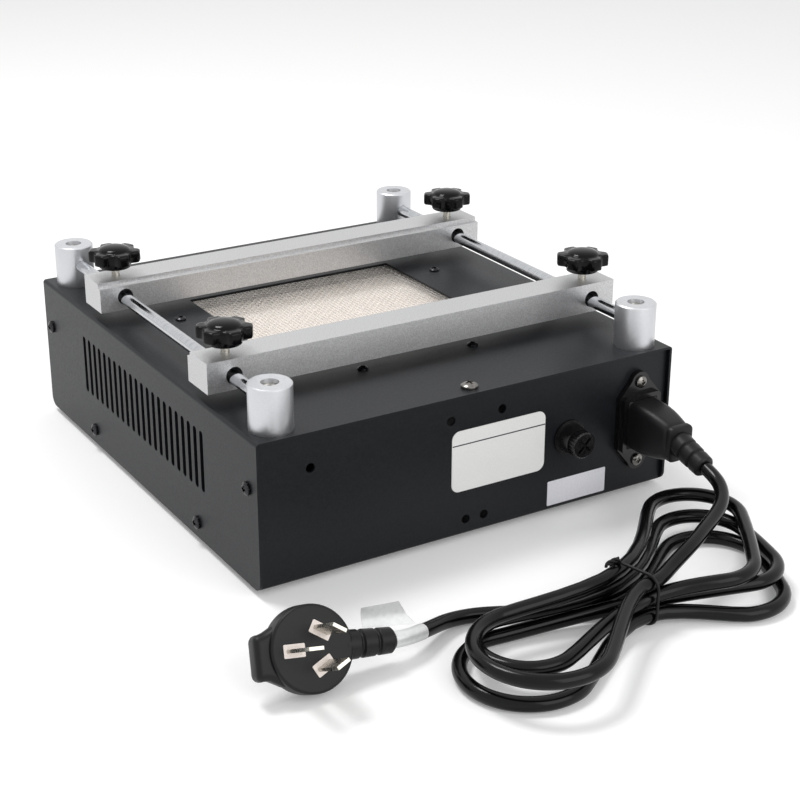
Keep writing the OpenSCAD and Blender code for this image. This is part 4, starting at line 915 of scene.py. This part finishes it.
front = flag_sheet(np.linspace(0, 1, 13)[:, None, None], np.linspace(0, 1, 9)[None, :, None])
flag = np.concatenate([front, front[:, ::-1] + FLAG_BACK], axis=1) * MM
tag = make_piece("cord_tag", *together(capped(wrap), capped(flag)), "housing", tag_film, "pale_plastic", 40)

# %% [markdown]
# ## The floor, the light and the end
# A pale floor, one lamp above and behind, a large soft one in front, and an even surround. The surround is white to the
# eye and in reflections, and softer as a light, so that colours come out about as they are written.

# %% Floor
FLOOR_R, FLOOR_SIDES, FLOOR_LIFT = 4.0, 64, 0.15


def seen_directly(tree):
    """1 for rays from the camera, off a shiny surface or through a clear one, and 0 for those that carry light."""
    rays = add(tree, "LightPath").outputs
    seen = add(tree, "Math", {0: rays["Is Camera Ray"], 1: rays["Is Glossy Ray"]}, operation="MAXIMUM").outputs[0]
    return add(tree, "Math", {0: seen, 1: rays["Is Transmission Ray"]}, operation="MAXIMUM").outputs[0]


rim = turned(np.array([FLOOR_R]), np.array([0.0]), FLOOR_SIDES)[0]
floor_mesh = bpy.data.meshes.new("floor")
floor_mesh.from_pydata(rim.tolist(), [], [list(range(FLOOR_SIDES))])
floor = bpy.data.objects.new("floor", floor_mesh)
scene.collection.objects.link(floor)
floor_paint, tree, shader = finish_of("matt_floor_paint", Base_Color=linear("#f4f4f4"), Roughness=0.9)
lift = add(tree, "Math", {0: seen_directly(tree), 1: FLOOR_LIFT}, operation="MULTIPLY")
shader.inputs["Emission Color"].default_value = (1, 1, 1, 1)
tree.links.new(lift.outputs[0], shader.inputs["Emission Strength"])
floor_mesh.materials.append(floor_paint)
print("floor radius:", FLOOR_R)

# %% Surround and lamps
AIM = (0, 0.05, 0.05)
world = bpy.data.worlds.new("studio")
scene.world = world
world.use_nodes = True
tree = world.node_tree
tree.nodes.clear()
soft_light = add(tree, "Background", {"Color": (1, 1, 1, 1), "Strength": 0.6})
white = add(tree, "Background", {"Color": (1, 1, 1, 1), "Strength": 1.0})
mix = add(tree, "MixShader", {0: seen_directly(tree), 1: soft_light.outputs[0], 2: white.outputs[0]})
add(tree, "OutputWorld", {"Surface": mix.outputs[0]})


def lamp(name, place, size, watts):
    """A square soft lamp at a place, turned so that its -Z looks at the aim."""
    data = bpy.data.lights.new(name, "AREA")
    data.energy, data.size = watts, size
    light = bpy.data.objects.new(name, data)
    light.location = place
    light.rotation_euler = (Vector(AIM) - Vector(place)).to_track_quat("-Z", "Y").to_euler()
    scene.collection.objects.link(light)


lamp("key_lamp", (0.3, -0.4, 1.3), size=0.4, watts=9)
lamp("fill_lamp", (-0.3, 1.4, 0.8), size=1.2, watts=8)
print("lamps:", len(bpy.data.lights))

# %% [markdown]
# The last cell brings the scene up to date.

bpy.context.view_layer.update()
